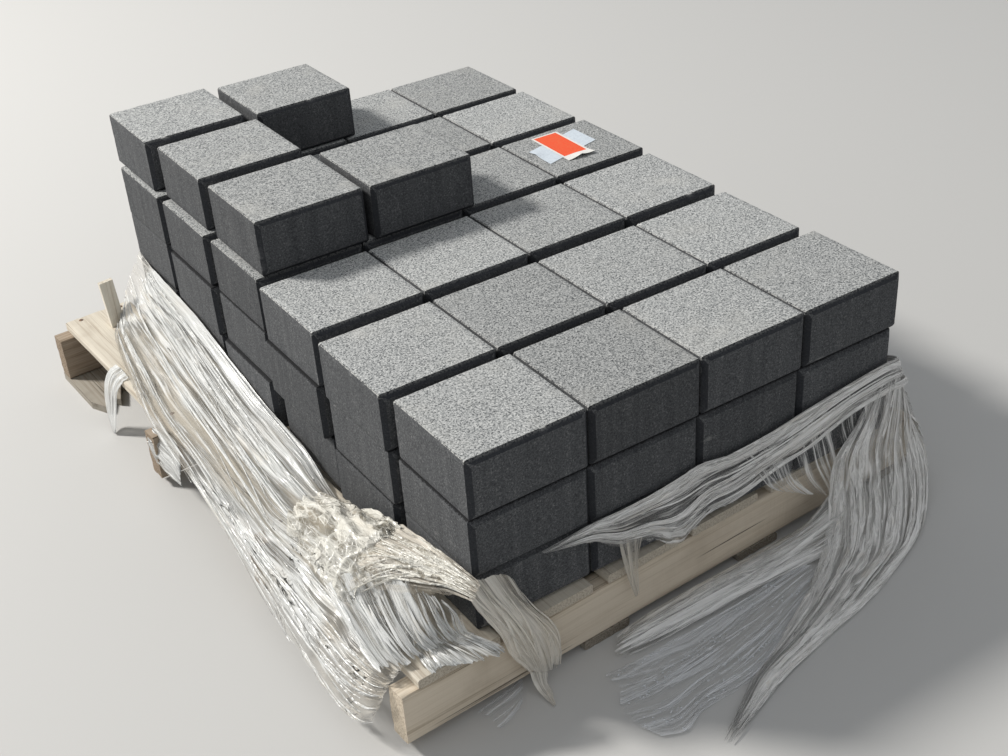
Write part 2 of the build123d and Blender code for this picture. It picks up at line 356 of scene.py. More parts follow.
def new_shape_tree(name, inputs):
    """An empty geometry tree with a geometry socket each way and named inputs."""
    tree = bpy.data.node_groups.new(name, "GeometryNodeTree")
    tree.interface.new_socket("Geometry", in_out="INPUT", socket_type="NodeSocketGeometry")
    tree.interface.new_socket("Geometry", in_out="OUTPUT", socket_type="NodeSocketGeometry")
    for label, kind in inputs:
        tree.interface.new_socket(label, in_out="INPUT", socket_type="NodeSocket" + kind)
    given = tree.nodes.new("NodeGroupInput").outputs
    result = tree.nodes.new("NodeGroupOutput").inputs["Geometry"]
    return tree, given, result


def shown(name, data):
    """A new object in the scene, for a mesh, a lamp or a camera."""
    made = bpy.data.objects.new(name, data)
    bpy.context.scene.collection.objects.link(made)
    return made


def grown(name, mesh, tree, **settings):
    """Runs a tree on a mesh and keeps the result as the mesh of a new object."""
    piece = shown(name, mesh)
    modifier = piece.modifiers.new("shape", "NODES")
    modifier.node_group = tree
    for item in tree.interface.items_tree:
        key = item.name.lower().replace(" ", "_")
        if item.in_out == "INPUT" and key in settings:
            modifier[item.identifier] = settings[key]
    bpy.context.view_layer.update()
    evaluated = piece.evaluated_get(bpy.context.evaluated_depsgraph_get())
    finished = bpy.data.meshes.new_from_object(evaluated)
    piece.modifiers.remove(modifier)
    piece.data = finished
    return piece


def mesh_of(name, points, faces=(), attributes=None):
    """A mesh with float attributes on its points."""
    mesh = bpy.data.meshes.new(name)
    mesh.from_pydata([tuple(p) for p in points], [], [tuple(f) for f in faces])
    for label, values in (attributes or {}).items():
        kept = mesh.attributes.new(label, "FLOAT", "POINT")
        kept.data.foreach_set("value", np.asarray(values, np.float32))
    return mesh


def grid_faces(rows, columns):
    """Faces of a grid of points that is given row by row."""
    wide = columns + 1
    ends = [(i * wide + j, (i + 1) * wide + j) for i in range(rows) for j in range(columns)]
    return [(near, far, far + 1, near + 1) for near, far in ends]


def node_output(tree, kind, inputs=None, **settings):
    """The first output of a new node."""
    return add(tree, kind, inputs, **settings).outputs[0]


def pushed(tree, geometry, distance):
    """Geometry whose points are moved along their normals."""
    outward = node_output(tree, "GeometryNodeInputNormal")
    shift = add(tree, "ShaderNodeVectorMath", operation="SCALE")
    tree.links.new(outward, shift.inputs[0])
    tree.links.new(distance, shift.inputs["Scale"])
    inputs = {"Geometry": geometry, "Offset": shift.outputs[0]}
    return node_output(tree, "GeometryNodeSetPosition", inputs)


def copies(tree, inputs):
    """Real copies of a shape on each point."""
    placed = node_output(tree, "GeometryNodeInstanceOnPoints", inputs)
    return node_output(tree, "GeometryNodeRealizeInstances", {"Geometry": placed})


def end_tree(tree, geometry, given, result):
    """Ends a tree with its geometry in the finish that it was given."""
    inputs = {"Geometry": geometry, "Material": given["Finish"]}
    tree.links.new(node_output(tree, "GeometryNodeSetMaterial", inputs), result)


# %% [markdown]
# ## One block
#
# A block is a square slab whose front and back faces stand inside bevelled arrises. It is
# drawn here as rings of points along its length with a grid on either end, fine enough for
# crumbs to break its edges, and finer beside every edge. Each point knows how near the
# nearest arris is.

# %% Block mesh
block_bevel = 0.0075
block_ease = 0.0012
edge_line = 0.003
grid_step = 0.0075
arris_reach = 0.0045
line_gap = 0.0003


def grid_lines(length, step, beside):
    """Evenly spaced lines over a length, with one more close beside either end."""
    count = max(2, round((length - 2 * beside) / step))
    inner = np.linspace(beside, length - beside, count + 1)
    return np.concatenate([[0.0], inner, [length]])


def slab_mesh(name, size, step, bevel, ease):
    """A closed slab about its middle: rings along Y, gridded ends, bevelled and eased."""
    wide, long_, high = size
    xs = grid_lines(wide, step[0], edge_line) / wide - 0.5
    zs = grid_lines(high, step[2], min(edge_line, high / 8)) / high - 0.5
    ys = grid_lines(long_ - 2 * bevel, step[1], edge_line) - long_ / 2 + bevel
    if bevel > 0:
        ys = np.concatenate([[-long_ / 2], ys, [long_ / 2]])
    last_i, last_j, last_k = len(xs) - 1, len(ys) - 1, len(zs) - 1
    index, points, nearness = {}, [], []
    for j, y in enumerate(ys):
        end = j in (0, last_j)
        room_x = wide - 2 * bevel if end else wide
        room_z = high - 2 * bevel if end else high
        for i, x in enumerate(xs):
            for k, z in enumerate(zs):
                side_x, side_z = i in (0, last_i), k in (0, last_k)
                if not (end or side_x or side_z):
                    continue
                px, pz = x * room_x, z * room_z
                gap_x, gap_z = room_x / 2 - abs(px), room_z / 2 - abs(pz)
                gap_y = max(0.0, long_ / 2 - bevel - abs(y)) if not end else 0.0
                gaps = sorted((gap_x, gap_y, gap_z))
                near = gaps[1] + (0.5 * arris_reach if end and bevel > 0 else 0.0)
                if side_x and side_z:
                    px -= np.sign(px) * ease
                    pz -= np.sign(pz) * ease
                index[i, j, k] = len(points)
                points.append((px, y, pz))
                nearness.append(np.exp(-near / arris_reach))
    faces = []

    def add_quad(quad, flip):
        faces.append([index[q] for q in (quad[::-1] if flip else quad)])

    for j in range(last_j):
        for i in range(last_i):
            for k, flip in ((0, False), (last_k, True)):
                add_quad([(i, j, k), (i, j + 1, k), (i + 1, j + 1, k), (i + 1, j, k)], flip)
        for k in range(last_k):
            for i, flip in ((0, True), (last_i, False)):
                add_quad([(i, j, k), (i, j + 1, k), (i, j + 1, k + 1), (i, j, k + 1)], flip)
    for i in range(last_i):
        for k in range(last_k):
            for j, flip in ((0, False), (last_j, True)):
                add_quad([(i, j, k), (i + 1, j, k), (i + 1, j, k + 1), (i, j, k + 1)], flip)
    return mesh_of(name, points, faces, {"arris": nearness})


def block_places(name):
    """Middle and size of each block of a row, found from the four bevel lines of each."""
    points = turned(mesh_points(name))
    lines = [points[:, 0].min()]
    for x in np.sort(points[:, 0]):
        if x - lines[-1] > line_gap:
            lines.append(x)
    places = []
    for first in range(0, len(lines), 4):
        start, stop = lines[first] - 0.0002, lines[first + 3] + 0.0002
        inside = (points[:, 0] > start) & (points[:, 0] < stop)
        low, high = points[inside].min(0), points[inside].max(0)
        places.append(((low + high) / 2, high - low))
    return places


# %% One block
block_size = block_places("layer_2_row_1")[0][1]
block_mesh = slab_mesh("block_shape", block_size, (grid_step,) * 3, block_bevel, block_ease)
block_source = shown("block_shape", block_mesh)
print("block", np.round(block_size, 4), "faces", len(block_mesh.polygons))

# %% [markdown]
# ## Rows of rough blocks
#
# One tree sets a block on each place of a row, gives it a tone, makes the copies real and
# then roughens them. Because the noise is read after the blocks are in place, every block
# breaks in its own way: grain all over, and crumbs out of the arrises.

# %% Tree for rough blocks
rough_blocks, given, result = new_shape_tree(
    "rough_blocks",
    [
        ("Block", "Object"),
        ("Turn", "Float"),
        ("Grain Depth", "Float"),
        ("Chip Depth", "Float"),
        ("Chip Scale", "Float"),
        ("Seed", "Int"),
        ("Finish", "Material"),
    ],
)
tree = rough_blocks
source = add(tree, "GeometryNodeObjectInfo", {"Object": given["Block"], "As Instance": True})
spin = node_output(tree, "ShaderNodeCombineXYZ", {"Z": given["Turn"]})
placed = node_output(
    tree,
    "GeometryNodeInstanceOnPoints",
    {"Points": given["Geometry"], "Instance": source.outputs["Geometry"], "Rotation": spin},
)
random_tone = add(tree, "FunctionNodeRandomValue", {"Seed": given["Seed"]}, data_type="FLOAT")
toned = node_output(
    tree,
    "GeometryNodeStoreNamedAttribute",
    {"Geometry": placed, "Name": "block_tone", "Value": random_tone.outputs[1]},
    domain="INSTANCE",
    data_type="FLOAT",
)
real = node_output(tree, "GeometryNodeRealizeInstances", {"Geometry": toned})
where = node_output(tree, "GeometryNodeInputPosition")
fine = node_output(tree, "ShaderNodeTexNoise", {"Vector": where, "Scale": 90.0, "Detail": 2.0})
chip = node_output(
    tree, "ShaderNodeTexNoise", {"Vector": where, "Scale": given["Chip Scale"], "Detail": 3.0}
)
near = node_output(tree, "GeometryNodeInputNamedAttribute", {"Name": "arris"}, data_type="FLOAT")
centred = minus(tree, fine, 0.5)
swell = times(tree, centred, given["Grain Depth"])
broken = faded(tree, chip, 0.53, 0.74)
bite = times(tree, times(tree, broken, near), given["Chip Depth"])
end_tree(tree, pushed(tree, real, minus(tree, swell, bite)), given, result)
print("rough block nodes", len(tree.nodes))

# %% Lay the rows
sharp_angle = radians(38)


def smooth_but_sharp(piece):
    """Smooth shading with the sharp edges kept."""
    piece.data.shade_smooth()
    piece.data.set_sharp_from_angle(angle=sharp_angle)


row_names = sorted(n for n in nodes if n.startswith("layer_"))
for number, name in enumerate(row_names):
    middles = [middle for middle, size in block_places(name)]
    spots = [(*(m[0] * across_axis + m[1] * along_axis), m[2]) for m in middles]
    row = grown(
        "blocks_" + name,
        mesh_of(name, spots),
        rough_blocks,
        block=block_source,
        turn=stack_turn,
        grain_depth=0.0006,
        chip_depth=0.0006,
        chip_scale=130.0,
        seed=number,
        finish=concrete,
    )
    smooth_but_sharp(row)
    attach(row, "root")
    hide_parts(name)
bpy.data.objects.remove(block_source)
print("rows of blocks", len(row_names), "faces in the last", len(row.data.polygons))

# %% [markdown]
# ## Timber
#
# The pallet is sawn softwood that has stood outdoors: growth lines along each board, fine
# marks across it from the saw, cracks that open with the lines, dark knots, and rough
# speckled ends. One function makes the finish for a board that runs along a given axis,
# and each kind of board has its own tint.

# %% Timber finish
crack_shade = (0.06, 0.045, 0.03)
knot_shade = (0.10, 0.055, 0.03)


def timber_finish(name, axis, pale, mid, dark):
    """Sawn softwood whose grain runs along an axis."""
    material, tree, shader, place = new_finish(name, Roughness=0.82)
    shader.inputs["Specular IOR Level"].default_value = 0.3

    def stretched(across, along):
        factors = [across] * 3
        factors["XYZ".index(axis)] = along
        return scaled(tree, place, factors)

    bands = noise(tree, stretched(90.0, 1.6), 1.0, 4.0, 0.6, 0.6)
    fibres = noise(tree, stretched(420.0, 9.0), 1.0, 3.0, 0.6)
    saw_marks = noise(tree, stretched(14.0, 330.0), 1.0, 2.0)
    stain = noise(tree, place, 6.0, 4.0, 0.6)
    wood = ramp(tree, bands, (0.31, dark), (0.43, mid), (0.56, pale), (0.68, mid))
    wood = mixed(tree, faded(tree, fibres, 0.46, 0.66), wood, pale)
    wood = mixed(tree, times(tree, faded(tree, stain, 0.5, 0.75), 0.5), wood, dark)
    wood = mixed(tree, times(tree, faded(tree, saw_marks, 0.55, 0.75), 0.22), wood, pale)
    cracks = faded(tree, noise(tree, stretched(210.0, 2.2), 1.0, 1.0), 0.70, 0.74)
    wood = mixed(tree, times(tree, cracks, 0.75), wood, crack_shade)
    spots = add(tree, "ShaderNodeTexVoronoi", {"Vector": place, "Scale": 7.0}).outputs["Distance"]
    knots = minus(tree, 1.0, faded(tree, spots, 0.035, 0.06))
    wood = mixed(tree, times(tree, knots, 0.8), wood, knot_shade)
    speckle = noise(tree, place, 330.0, 3.0, 0.7)
    end_wood = ramp(tree, speckle, (0.36, dark), (0.5, mid), (0.66, pale))
    along = calc(tree, "ABSOLUTE", facing_part(tree, axis))
    end_face = faded(tree, along, 0.6, 0.85)
    wood = mixed(tree, end_face, wood, end_wood)
    feed(tree, shader.inputs["Base Color"], wood)
    relief = plus(tree, times(tree, fibres, 0.6), times(tree, saw_marks, 0.4))
    relief = minus(tree, relief, cracks)
    relief = plus(tree, relief, times(tree, times(tree, end_face, speckle), 1.2))
    feed(tree, shader.inputs["Normal"], bumped(tree, relief, 0.6, 0.0016))
    return material


tan_timber = timber_finish(
    "tan_timber", "X", (0.74, 0.65, 0.53), (0.65, 0.56, 0.44), (0.44, 0.36, 0.27)
)
brown_timber = timber_finish(
    "brown_timber", "X", (0.38, 0.31, 0.24), (0.28, 0.215, 0.155), (0.15, 0.11, 0.075)
)
bleached_timber = timber_finish(
    "bleached_timber", "Y", (0.66, 0.61, 0.52), (0.56, 0.50, 0.41), (0.38, 0.32, 0.25)
)
grey_timber = timber_finish(
    "grey_timber", "Y", (0.37, 0.34, 0.29), (0.27, 0.235, 0.19), (0.14, 0.12, 0.095)
)
lath_timber = timber_finish(
    "lath_timber", "Z", (0.80, 0.76, 0.67), (0.70, 0.64, 0.54), (0.46, 0.40, 0.31)
)
print("timbers", [m.name for m in bpy.data.materials if "timber" in m.name])

# %% [markdown]
# ## Sawn boards
#
# A real board is never a true box. It bows a little, and its arrises are eased and
# splintered. Each stringer, deck board and all but the first bottom board starts as the same
# gridded slab that the blocks use, sized from its node, and a second tree wears it: a slow
# bow, a ripple from the saw, and splinters picked out of the arrises. The first bottom board
# and the upright lath keep their own shape and only take a finish.

# %% Tree for worn boards
worn_board, given, result = new_shape_tree(
    "worn_board",
    [
        ("Bow", "Float"),
        ("Ripple", "Float"),
        ("Wane", "Float"),
        ("Lengthwise", "Vector"),
        ("Finish", "Material"),
    ],
)
tree = worn_board
where = node_output(tree, "GeometryNodeInputPosition")
stretch = scaled(tree, where, given["Lengthwise"])
slow = node_output(tree, "ShaderNodeTexNoise", {"Vector": where, "Scale": 2.2, "Detail": 0.0})
lines = node_output(tree, "ShaderNodeTexNoise", {"Vector": stretch, "Scale": 1.0})
near = node_output(tree, "GeometryNodeInputNamedAttribute", {"Name": "arris"}, data_type="FLOAT")
bow = times(tree, minus(tree, slow, 0.5), given["Bow"])
ripple = times(tree, minus(tree, lines, 0.5), given["Ripple"])
worn = times(tree, faded(tree, lines, 0.42, 0.7), near)
worn = times(tree, worn, given["Wane"])
push = minus(tree, plus(tree, bow, ripple), worn)
end_tree(tree, pushed(tree, given["Geometry"], push), given, result)
print("worn board nodes", len(tree.nodes))

# %% Board mesh
board_grid, board_ease = (0.008, 0.014, 0.007), 0.0011
across_rings, along_rings = 75.0, 2.0


def sawn_board(name, node, finish):
    """A worn board in the place of a node. Its rings run along its longest side."""
    low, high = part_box(node)
    size = high - low
    along_x = size.x > size.y
    shape = (size.y, size.x, size.z) if along_x else (size.x, size.y, size.z)
    mesh = slab_mesh(name, shape, board_grid, 0.0, board_ease)
    turn = Matrix.Rotation(radians(-90), 4, "Z") if along_x else Matrix.Identity(4)
    mesh.transform(Matrix.Translation((low + high) / 2) @ turn)
    rows = [across_rings] * 3
    rows[0 if along_x else 1] = along_rings
    board = grown(
        name, mesh, worn_board, bow=0.0012, ripple=0.0005, wane=0.0014, lengthwise=rows, finish=finish
    )
    smooth_but_sharp(board)
    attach(board, "root")
    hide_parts(node)
    return board


# %% Lay the boards
for number in range(1, 5):
    finish = tan_timber if number == 1 else brown_timber
    sawn_board(f"sawn_stringer_{number}", f"stringer_{number}", finish)
for number in range(1, 7):
    sawn_board(f"sawn_deck_board_{number}", f"deck_board_{number}", bleached_timber)
for number in range(2, 5):
    sawn_board(f"sawn_bottom_board_{number}", f"bottom_board_{number}", grey_timber)
for node, finish in (("bottom_board_1", grey_timber), ("upright_lath", lath_timber)):
    nodes[node].data.materials.clear()
    nodes[node].data.materials.append(finish)
print("boards", len([n for n in nodes if "board" in n or "stringer" in n]))

# %% [markdown]
# ## Nails
#
# Two nails fix each deck board to each stringer. Only the heads that the load leaves bare
# are made. A tree sets one small domed head on each place, tips it at random and keeps the
# result as one mesh.

# %% Steel finish
rusty_steel, tree, shader, place = new_finish("rusty_steel", Roughness=0.6, Metallic=0.6)
rust = noise(tree, place, 700.0, 3.0)
rust_colour = ramp(tree, rust, (0.4, (0.10, 0.085, 0.075)), (0.6, (0.26, 0.14, 0.08)))
feed(tree, shader.inputs["Base Color"], rust_colour)
feed(tree, shader.inputs["Normal"], bumped(tree, rust, 0.5, 0.0004))
print("nails are of", rusty_steel.name)

# %% Nail head
head_profile = ((0.0, 0.0012), (0.0026, 0.0011), (0.0042, 0.0008), (0.0048, 0.0002), (0.0046, -0.0012))
head_sides = 12


def nail_head():
    """A shallow dome of revolution, closed underneath."""
    turns = [2 * np.pi * n / head_sides for n in range(head_sides)]
    points = [(0.0, 0.0, head_profile[0][1])]
    for radius, z in head_profile[1:]:
        points += [(radius * cos(a), radius * sin(a), z) for a in turns]
    faces = [(0, 1 + n, 1 + (n + 1) % head_sides) for n in range(head_sides)]
    for ring in range(len(head_profile) - 2):
        a, b = 1 + ring * head_sides, 1 + (ring + 1) * head_sides
        for n in range(head_sides):
            m = (n + 1) % head_sides
            faces.append((a + n, b + n, b + m, a + m))
    last = 1 + (len(head_profile) - 2) * head_sides
    faces.append(tuple(last + n for n in reversed(range(head_sides))))
    return mesh_of("nail_head", points, faces)


nail_source = shown("nail_shape", nail_head())
print("nail head of", len(nail_source.data.vertices), "points")

# %% Tree for nails
nail_tree, given, result = new_shape_tree(
    "nails", [("Nail", "Object"), ("Tilt", "Float"), ("Seed", "Int"), ("Finish", "Material")]
)
tree = nail_tree
source = add(tree, "GeometryNodeObjectInfo", {"Object": given["Nail"], "As Instance": True})
tilts = add(tree, "FunctionNodeRandomValue", {"Seed": given["Seed"]}, data_type="FLOAT_VECTOR")
least = node_output(tree, "ShaderNodeCombineXYZ", {"X": times(tree, given["Tilt"], -1.0)})
most = node_output(tree, "ShaderNodeCombineXYZ", {"X": given["Tilt"], "Z": 3.0})
tree.links.new(least, tilts.inputs[0])
tree.links.new(most, tilts.inputs[1])
inputs = {"Points": given["Geometry"], "Instance": source.outputs["Geometry"]}
inputs["Rotation"] = tilts.outputs[0]
end_tree(tree, copies(tree, inputs), given, result)
print("nail tree nodes", len(tree.nodes))

# %% Drive the nails
load_margin = 0.006
nail_shares = (0.22, 0.78)
load_size = turned(np.vstack([mesh_points(n) for n in row_names if "layer_1" in n]))
load_low, load_high = load_size.min(0) - load_margin, load_size.max(0) + load_margin
nail_rng = np.random.default_rng(5)
nail_spots = []
for board in range(1, 7):
    low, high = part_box(f"deck_board_{board}")
    for stringer in range(1, 5):
        back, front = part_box(f"stringer_{stringer}")
        for share in nail_shares:
            x = low.x + (high.x - low.x) * share + nail_rng.uniform(-0.006, 0.006)
            y = (back.y + front.y) / 2 + nail_rng.uniform(-0.008, 0.008)
            spot = np.array([[x, y, deck_top - 0.0004]])
            seen = turned(spot)[0, :2]
            if not np.all((load_low[:2] < seen) & (seen < load_high[:2])):
                nail_spots.append(spot[0])
nails = grown(
    "deck_nails",
    mesh_of("nail_places", nail_spots),
    nail_tree,
    nail=nail_source,
    tilt=0.12,
    seed=3,
    finish=rusty_steel,
)
smooth_but_sharp(nails)
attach(nails, "root")
bpy.data.objects.remove(nail_source)
print("bare nails", len(nail_spots))

# %% [markdown]
# ## Stretch film
#
# The film is clear plastic a few hundredths of a millimetre thick. It looks white because
# it is pulled into hundreds of flat facets, long with the pull, and each tips its own way
# and catches the light. The finish breaks the sheet's own map into such facets at a few
# sizes. Each facet has a tilt and a painted shade of its own, lighter or darker, with
# painted highlights along the creases round it, and where facets stack up the film closes,
# while between them it stays clear.

# %% Film finish


def facets(tree, flat, along, across):
    """Facets of a map: how high each point stands on its tipped facet, its shade, its creases."""
    where = scaled(tree, flat, (along, across, 1.0))
    inputs = {"Vector": where, "Scale": 1.0}
    cell = add(tree, "ShaderNodeTexVoronoi", inputs, voronoi_dimensions="2D").outputs
    border = add(
        tree, "ShaderNodeTexVoronoi", inputs, voronoi_dimensions="2D", feature="DISTANCE_TO_EDGE"
    )
    offset = vector_calc(tree, "SUBTRACT", where, cell["Position"])
    lean = vector_calc(tree, "SUBTRACT", cell["Color"], (0.5, 0.5, 0.5))
    tipped = calc(tree, "DIVIDE", vector_calc(tree, "DOT_PRODUCT", offset, lean), across)
    shade = add(tree, "ShaderNodeSeparateXYZ", {"Vector": cell["Color"]}).outputs["Z"]
    crease = minus(tree, 1.0, faded(tree, border.outputs["Distance"], 0.0, 0.12))
    return tipped, shade, crease


long_facets = ((1.3, 30.0, 0.40), (2.6, 85.0, 0.34), (5.5, 230.0, 0.26))
short_facets = ((16.0, 30.0, 0.40), (38.0, 66.0, 0.35), (70.0, 130.0, 0.25))
film_soil = (0.66, 0.58, 0.46)


def film_finish(name, least, most, pale, shadow, sizes=long_facets, veil=0.5, soil=0.4, opening=0.0):
    """Film whose cover goes from least to most with its facets and clears in places; its colour is painted
    from shadow to pale, painted shade and highlight, by facet and crease.
    """
    material, tree, shader = new_finish(name, Roughness=0.24)[:3]
    shader.inputs["Specular IOR Level"].default_value = 0.6
    thin = attribute(tree, "thin")
    flat = add(tree, "ShaderNodeUVMap", uv_map="pull").outputs["UV"]
    drift = add(tree, "ShaderNodeTexNoise", {"Vector": flat, "Scale": 9.0, "Detail": 1.0})
    drift = vector_calc(tree, "SUBTRACT", drift.outputs["Color"], (0.5, 0.5, 0.5))
    bent = vector_calc(tree, "ADD", flat, scaled(tree, drift, (0.06, 0.018, 0.0)))
    hair = noise(tree, scaled(tree, bent, (3.0, 520.0, 1.0)), 1.0, 1.0)
    clouds = noise(tree, scaled(tree, flat, (6.0, 12.0, 1.0)), 1.0, 3.0, 0.6)
    height, shades, creases = times(tree, hair, 0.0008), times(tree, hair, 0.3), 0.0
    for along, across, weight in sizes:
        tipped, shade, crease = facets(tree, bent, along, across)
        height = plus(tree, height, times(tree, tipped, 1.7 * weight))
        shades = plus(tree, shades, times(tree, shade, 0.7 * weight))
        creases = calc(tree, "MAXIMUM", creases, times(tree, crease, 0.5 + weight))
    closed = plus(tree, shades, times(tree, creases, 0.22))
    closed = plus(tree, closed, times(tree, minus(tree, clouds, 0.5), veil))
    closed = minus(tree, closed, times(tree, thin, 0.35))
    cover = faded(tree, closed, 0.36 + opening, 0.74 + opening / 2)
    feed(tree, shader.inputs["Alpha"], plus(tree, times(tree, cover, most - least), least))
    # Painted light and shade: each facet's own shade and the creases round it pick a colour between shadow
    # and pale, painted shade on some facets and painted highlights along creases.
    painted_light = faded(tree, plus(tree, shades, times(tree, creases, 0.3)), 0.37, 0.63)
    colour = mixed(tree, painted_light, shadow, pale)
    dirt = times(tree, faded(tree, clouds, 0.5, 0.72), soil)
    dirt = plus(tree, dirt, times(tree, thin, 0.6), clamp=True)
    colour = mixed(tree, dirt, colour, film_soil)
    feed(tree, shader.inputs["Base Color"], colour)
    height = plus(tree, height, times(tree, creases, 0.0006))
    feed(tree, shader.inputs["Normal"], bumped(tree, height, 1.0, 1.0))
    return material


white_film = film_finish("white_film", 0.30, 0.95, (0.76, 0.77, 0.76), (0.44, 0.43, 0.39), opening=0.03)
bright_film = film_finish("bright_film", 0.14, 0.92, (0.98, 0.97, 0.95), (0.58, 0.57, 0.54), opening=0.12)
bunch_film = film_finish(
    "bunch_film", 0.26, 0.94, (0.83, 0.81, 0.74), (0.46, 0.41, 0.31), short_facets, 0.7, 0.5, 0.03
)
thin_film = film_finish(
    "thin_film", 0.16, 0.74, (0.90, 0.84, 0.74), (0.52, 0.45, 0.35), veil=0.7, opening=0.03
)
wrap_film = film_finish("wrap_film", 0.30, 0.84, (0.98, 0.93, 0.84), (0.78, 0.71, 0.59), veil=0.8, soil=0.2)
grey_film = film_finish(
    "grey_film", 0.20, 0.92, (0.98, 0.97, 0.95), (0.54, 0.53, 0.51), veil=0.9, soil=0.1, opening=0.13
)
web_film = film_finish(
    "web_film", 0.04, 0.75, (0.95, 0.94, 0.92), (0.60, 0.59, 0.58), veil=0.9, soil=0.1, opening=0.2
)
pleat_film = film_finish(
    "pleat_film", 0.04, 0.94, (0.80, 0.81, 0.80), (0.44, 0.43, 0.40), veil=0.6, soil=0.2, opening=0.06
)
clear_film = film_finish(
    "clear_film", 0.04, 0.60, (0.95, 0.97, 1.0), (0.46, 0.48, 0.53), veil=0.8, soil=0.0, opening=0.16
)
print("films", [m.name for m in bpy.data.materials if m.name.endswith("film")])

# %% [markdown]
# ## Sheets of film
#
# Each sheet is drawn through a few rows of listed places and smoothed between them. Folds
# are then raised on it with noise that is long with the pull and short across it, as
# sharp-crested as real film, and crumpled patches where it bunched up. Its borders wander
# and end in torn points. Last, any point that would lie inside a block or a board is set
# just outside it, so the film clings to what it touches.

# %% Noise for folds


def plane_noise(x, y, seed):
    """Smooth noise from minus one to one over a plane, one cell to a unit."""
    table = np.random.default_rng(seed).uniform(-1.0, 1.0, (64, 64))
    column, line = np.floor(x).astype(int), np.floor(y).astype(int)
    dx, dy = x - column, y - line
    dx, dy = dx * dx * (3 - 2 * dx), dy * dy * (3 - 2 * dy)
    corners = [table[(column + i) % 64, (line + j) % 64] for i, j in ((0, 0), (1, 0), (0, 1), (1, 1))]
    near = corners[0] * (1 - dx) + corners[1] * dx
    far = corners[2] * (1 - dx) + corners[3] * dx
    return near * (1 - dy) + far * dy


def creases(x, y, size, seed):
    """Crumpled film, all flat facets between straight creases, about minus one to one."""
    random = np.random.default_rng(seed)
    bent_x = x + 0.4 * size * plane_noise(x / size / 2.3, y / size / 2.3, seed + 1)
    bent_y = y + 0.4 * size * plane_noise(x / size / 2.3, y / size / 2.3, seed + 2)
    total = np.zeros_like(x)
    for turn in range(5):
        angle, phase = random.uniform(0, np.pi), random.uniform(0, 1)
        wave = (bent_x * cos(angle) + bent_y * sin(angle)) / (size * random.uniform(0.8, 1.6)) + phase
        gate = np.clip(0.5 + plane_noise(x / size / 1.7, y / size / 1.7, seed + 3 + turn), 0, 1)
        total += (2 * np.abs(2 * (wave - np.floor(wave)) - 1) - 1) * gate
    return total / 2.0


def curve_weights(t):
    """Weights of four neighbours in a smooth curve through the middle two."""
    return (
        0.5 * (-t + 2 * t**2 - t**3),
        0.5 * (2 - 5 * t**2 + 3 * t**3),
        0.5 * (t + 4 * t**2 - 3 * t**3),
        0.5 * (-(t**2) + t**3),
    )


def between(rows, along, across):
    """Points of the smooth surface through rows of places, at shares of both ways."""
    count, wide = rows.shape[:2]
    u, v = np.clip(along, 0, 1) * (count - 1), np.clip(across, 0, 1) * (wide - 1)
    i, k = np.minimum(u.astype(int), count - 2), np.minimum(v.astype(int), wide - 2)
    total = np.zeros(along.shape + (3,))
    for a, weight_u in enumerate(curve_weights(u - i)):
        for b, weight_v in enumerate(curve_weights(v - k)):
            near = rows[np.clip(i + a - 1, 0, count - 1), np.clip(k + b - 1, 0, wide - 1)]
            total += near * (weight_u * weight_v)[..., None]
    return total


def facing_out(way_u, way_v, outside):
    """Unit normals of a surface, turned to the outside, and whether that flipped them."""
    normal = np.cross(way_u, way_v)
    normal /= np.maximum(np.linalg.norm(normal, axis=-1, keepdims=True), 1e-9)
    flip = bool(np.mean(normal @ np.array(outside)) < 0)
    return (-normal if flip else normal), flip


print("weights half way", [round(w, 4) for w in curve_weights(0.5)])

# %% Solids that the film stays out of
film_gap, ground_gap = 0.0015, 0.0008
stack_boxes = []
for name in row_names:
    for middle, size in block_places(name):
        stack_boxes.append((middle - size / 2 - film_gap, middle + size / 2 + film_gap))
board_boxes = []
for name in nodes:
    if "board" in name or "stringer" in name or name == "upright_lath":
        low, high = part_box(name)
        board_boxes.append((np.array(low) - film_gap, np.array(high) + film_gap))
print("film stays out of", len(stack_boxes), "blocks and", len(board_boxes), "boards")


def pushed_out(points, boxes):
    """Moves points out of boxes by the shortest way."""
    for low, high in boxes:
        inside = np.all((points > low) & (points < high), axis=1)
        if not inside.any():
            continue
        chosen = points[inside]
        ways = np.concatenate([chosen - low, high - chosen], axis=1)
        best = ways.argmin(1)
        for way in range(6):
            hit = best == way
            axis = way % 3
            chosen[hit, axis] = low[axis] if way < 3 else high[axis]
        points[inside] = chosen
    return points


def clear_of_solids(points):
    """Points outside the blocks, the boards and the ground."""
    points = pushed_out(points, board_boxes)
    local = pushed_out(turned(points), stack_boxes)
    flat = local[:, 0:1] * across_axis + local[:, 1:2] * along_axis
    points = np.column_stack([flat, local[:, 2]])
    points = pushed_out(points, board_boxes)
    points[:, 2] = np.maximum(points[:, 2], ground_gap)
    return points


# %% One sheet of film


def film_piece(name, points, faces, pull_map, thin, finish, nodes_for):
    """Makes a mesh of film with its map and finish, puts it in the scene and hides the nodes it stands for.
    """
    mesh = mesh_of(name, points, faces, {"thin": thin})
    layer = mesh.uv_layers.new(name="pull")
    corners = np.zeros(len(mesh.loops), np.int32)
    mesh.loops.foreach_get("vertex_index", corners)
    layer.data.foreach_set("uv", pull_map[corners].astype(np.float32).ravel())
    mesh.materials.append(finish)
    mesh.shade_smooth()
    sheet = shown(name, mesh)
    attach(sheet, "root")
    if nodes_for:
        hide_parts(*nodes_for)
    return sheet


def border(length, places, seed):
    """How far a torn border lies inside its line: slow bays and short teeth."""
    slow = np.abs(plane_noise(places / 0.1, 0 * places, seed))
    quick = np.abs(plane_noise(places / 0.017, 0 * places, seed + 1))
    return length * (0.45 * slow + 0.55 * quick)


laid_sheets = {}
tooth_width = 0.007


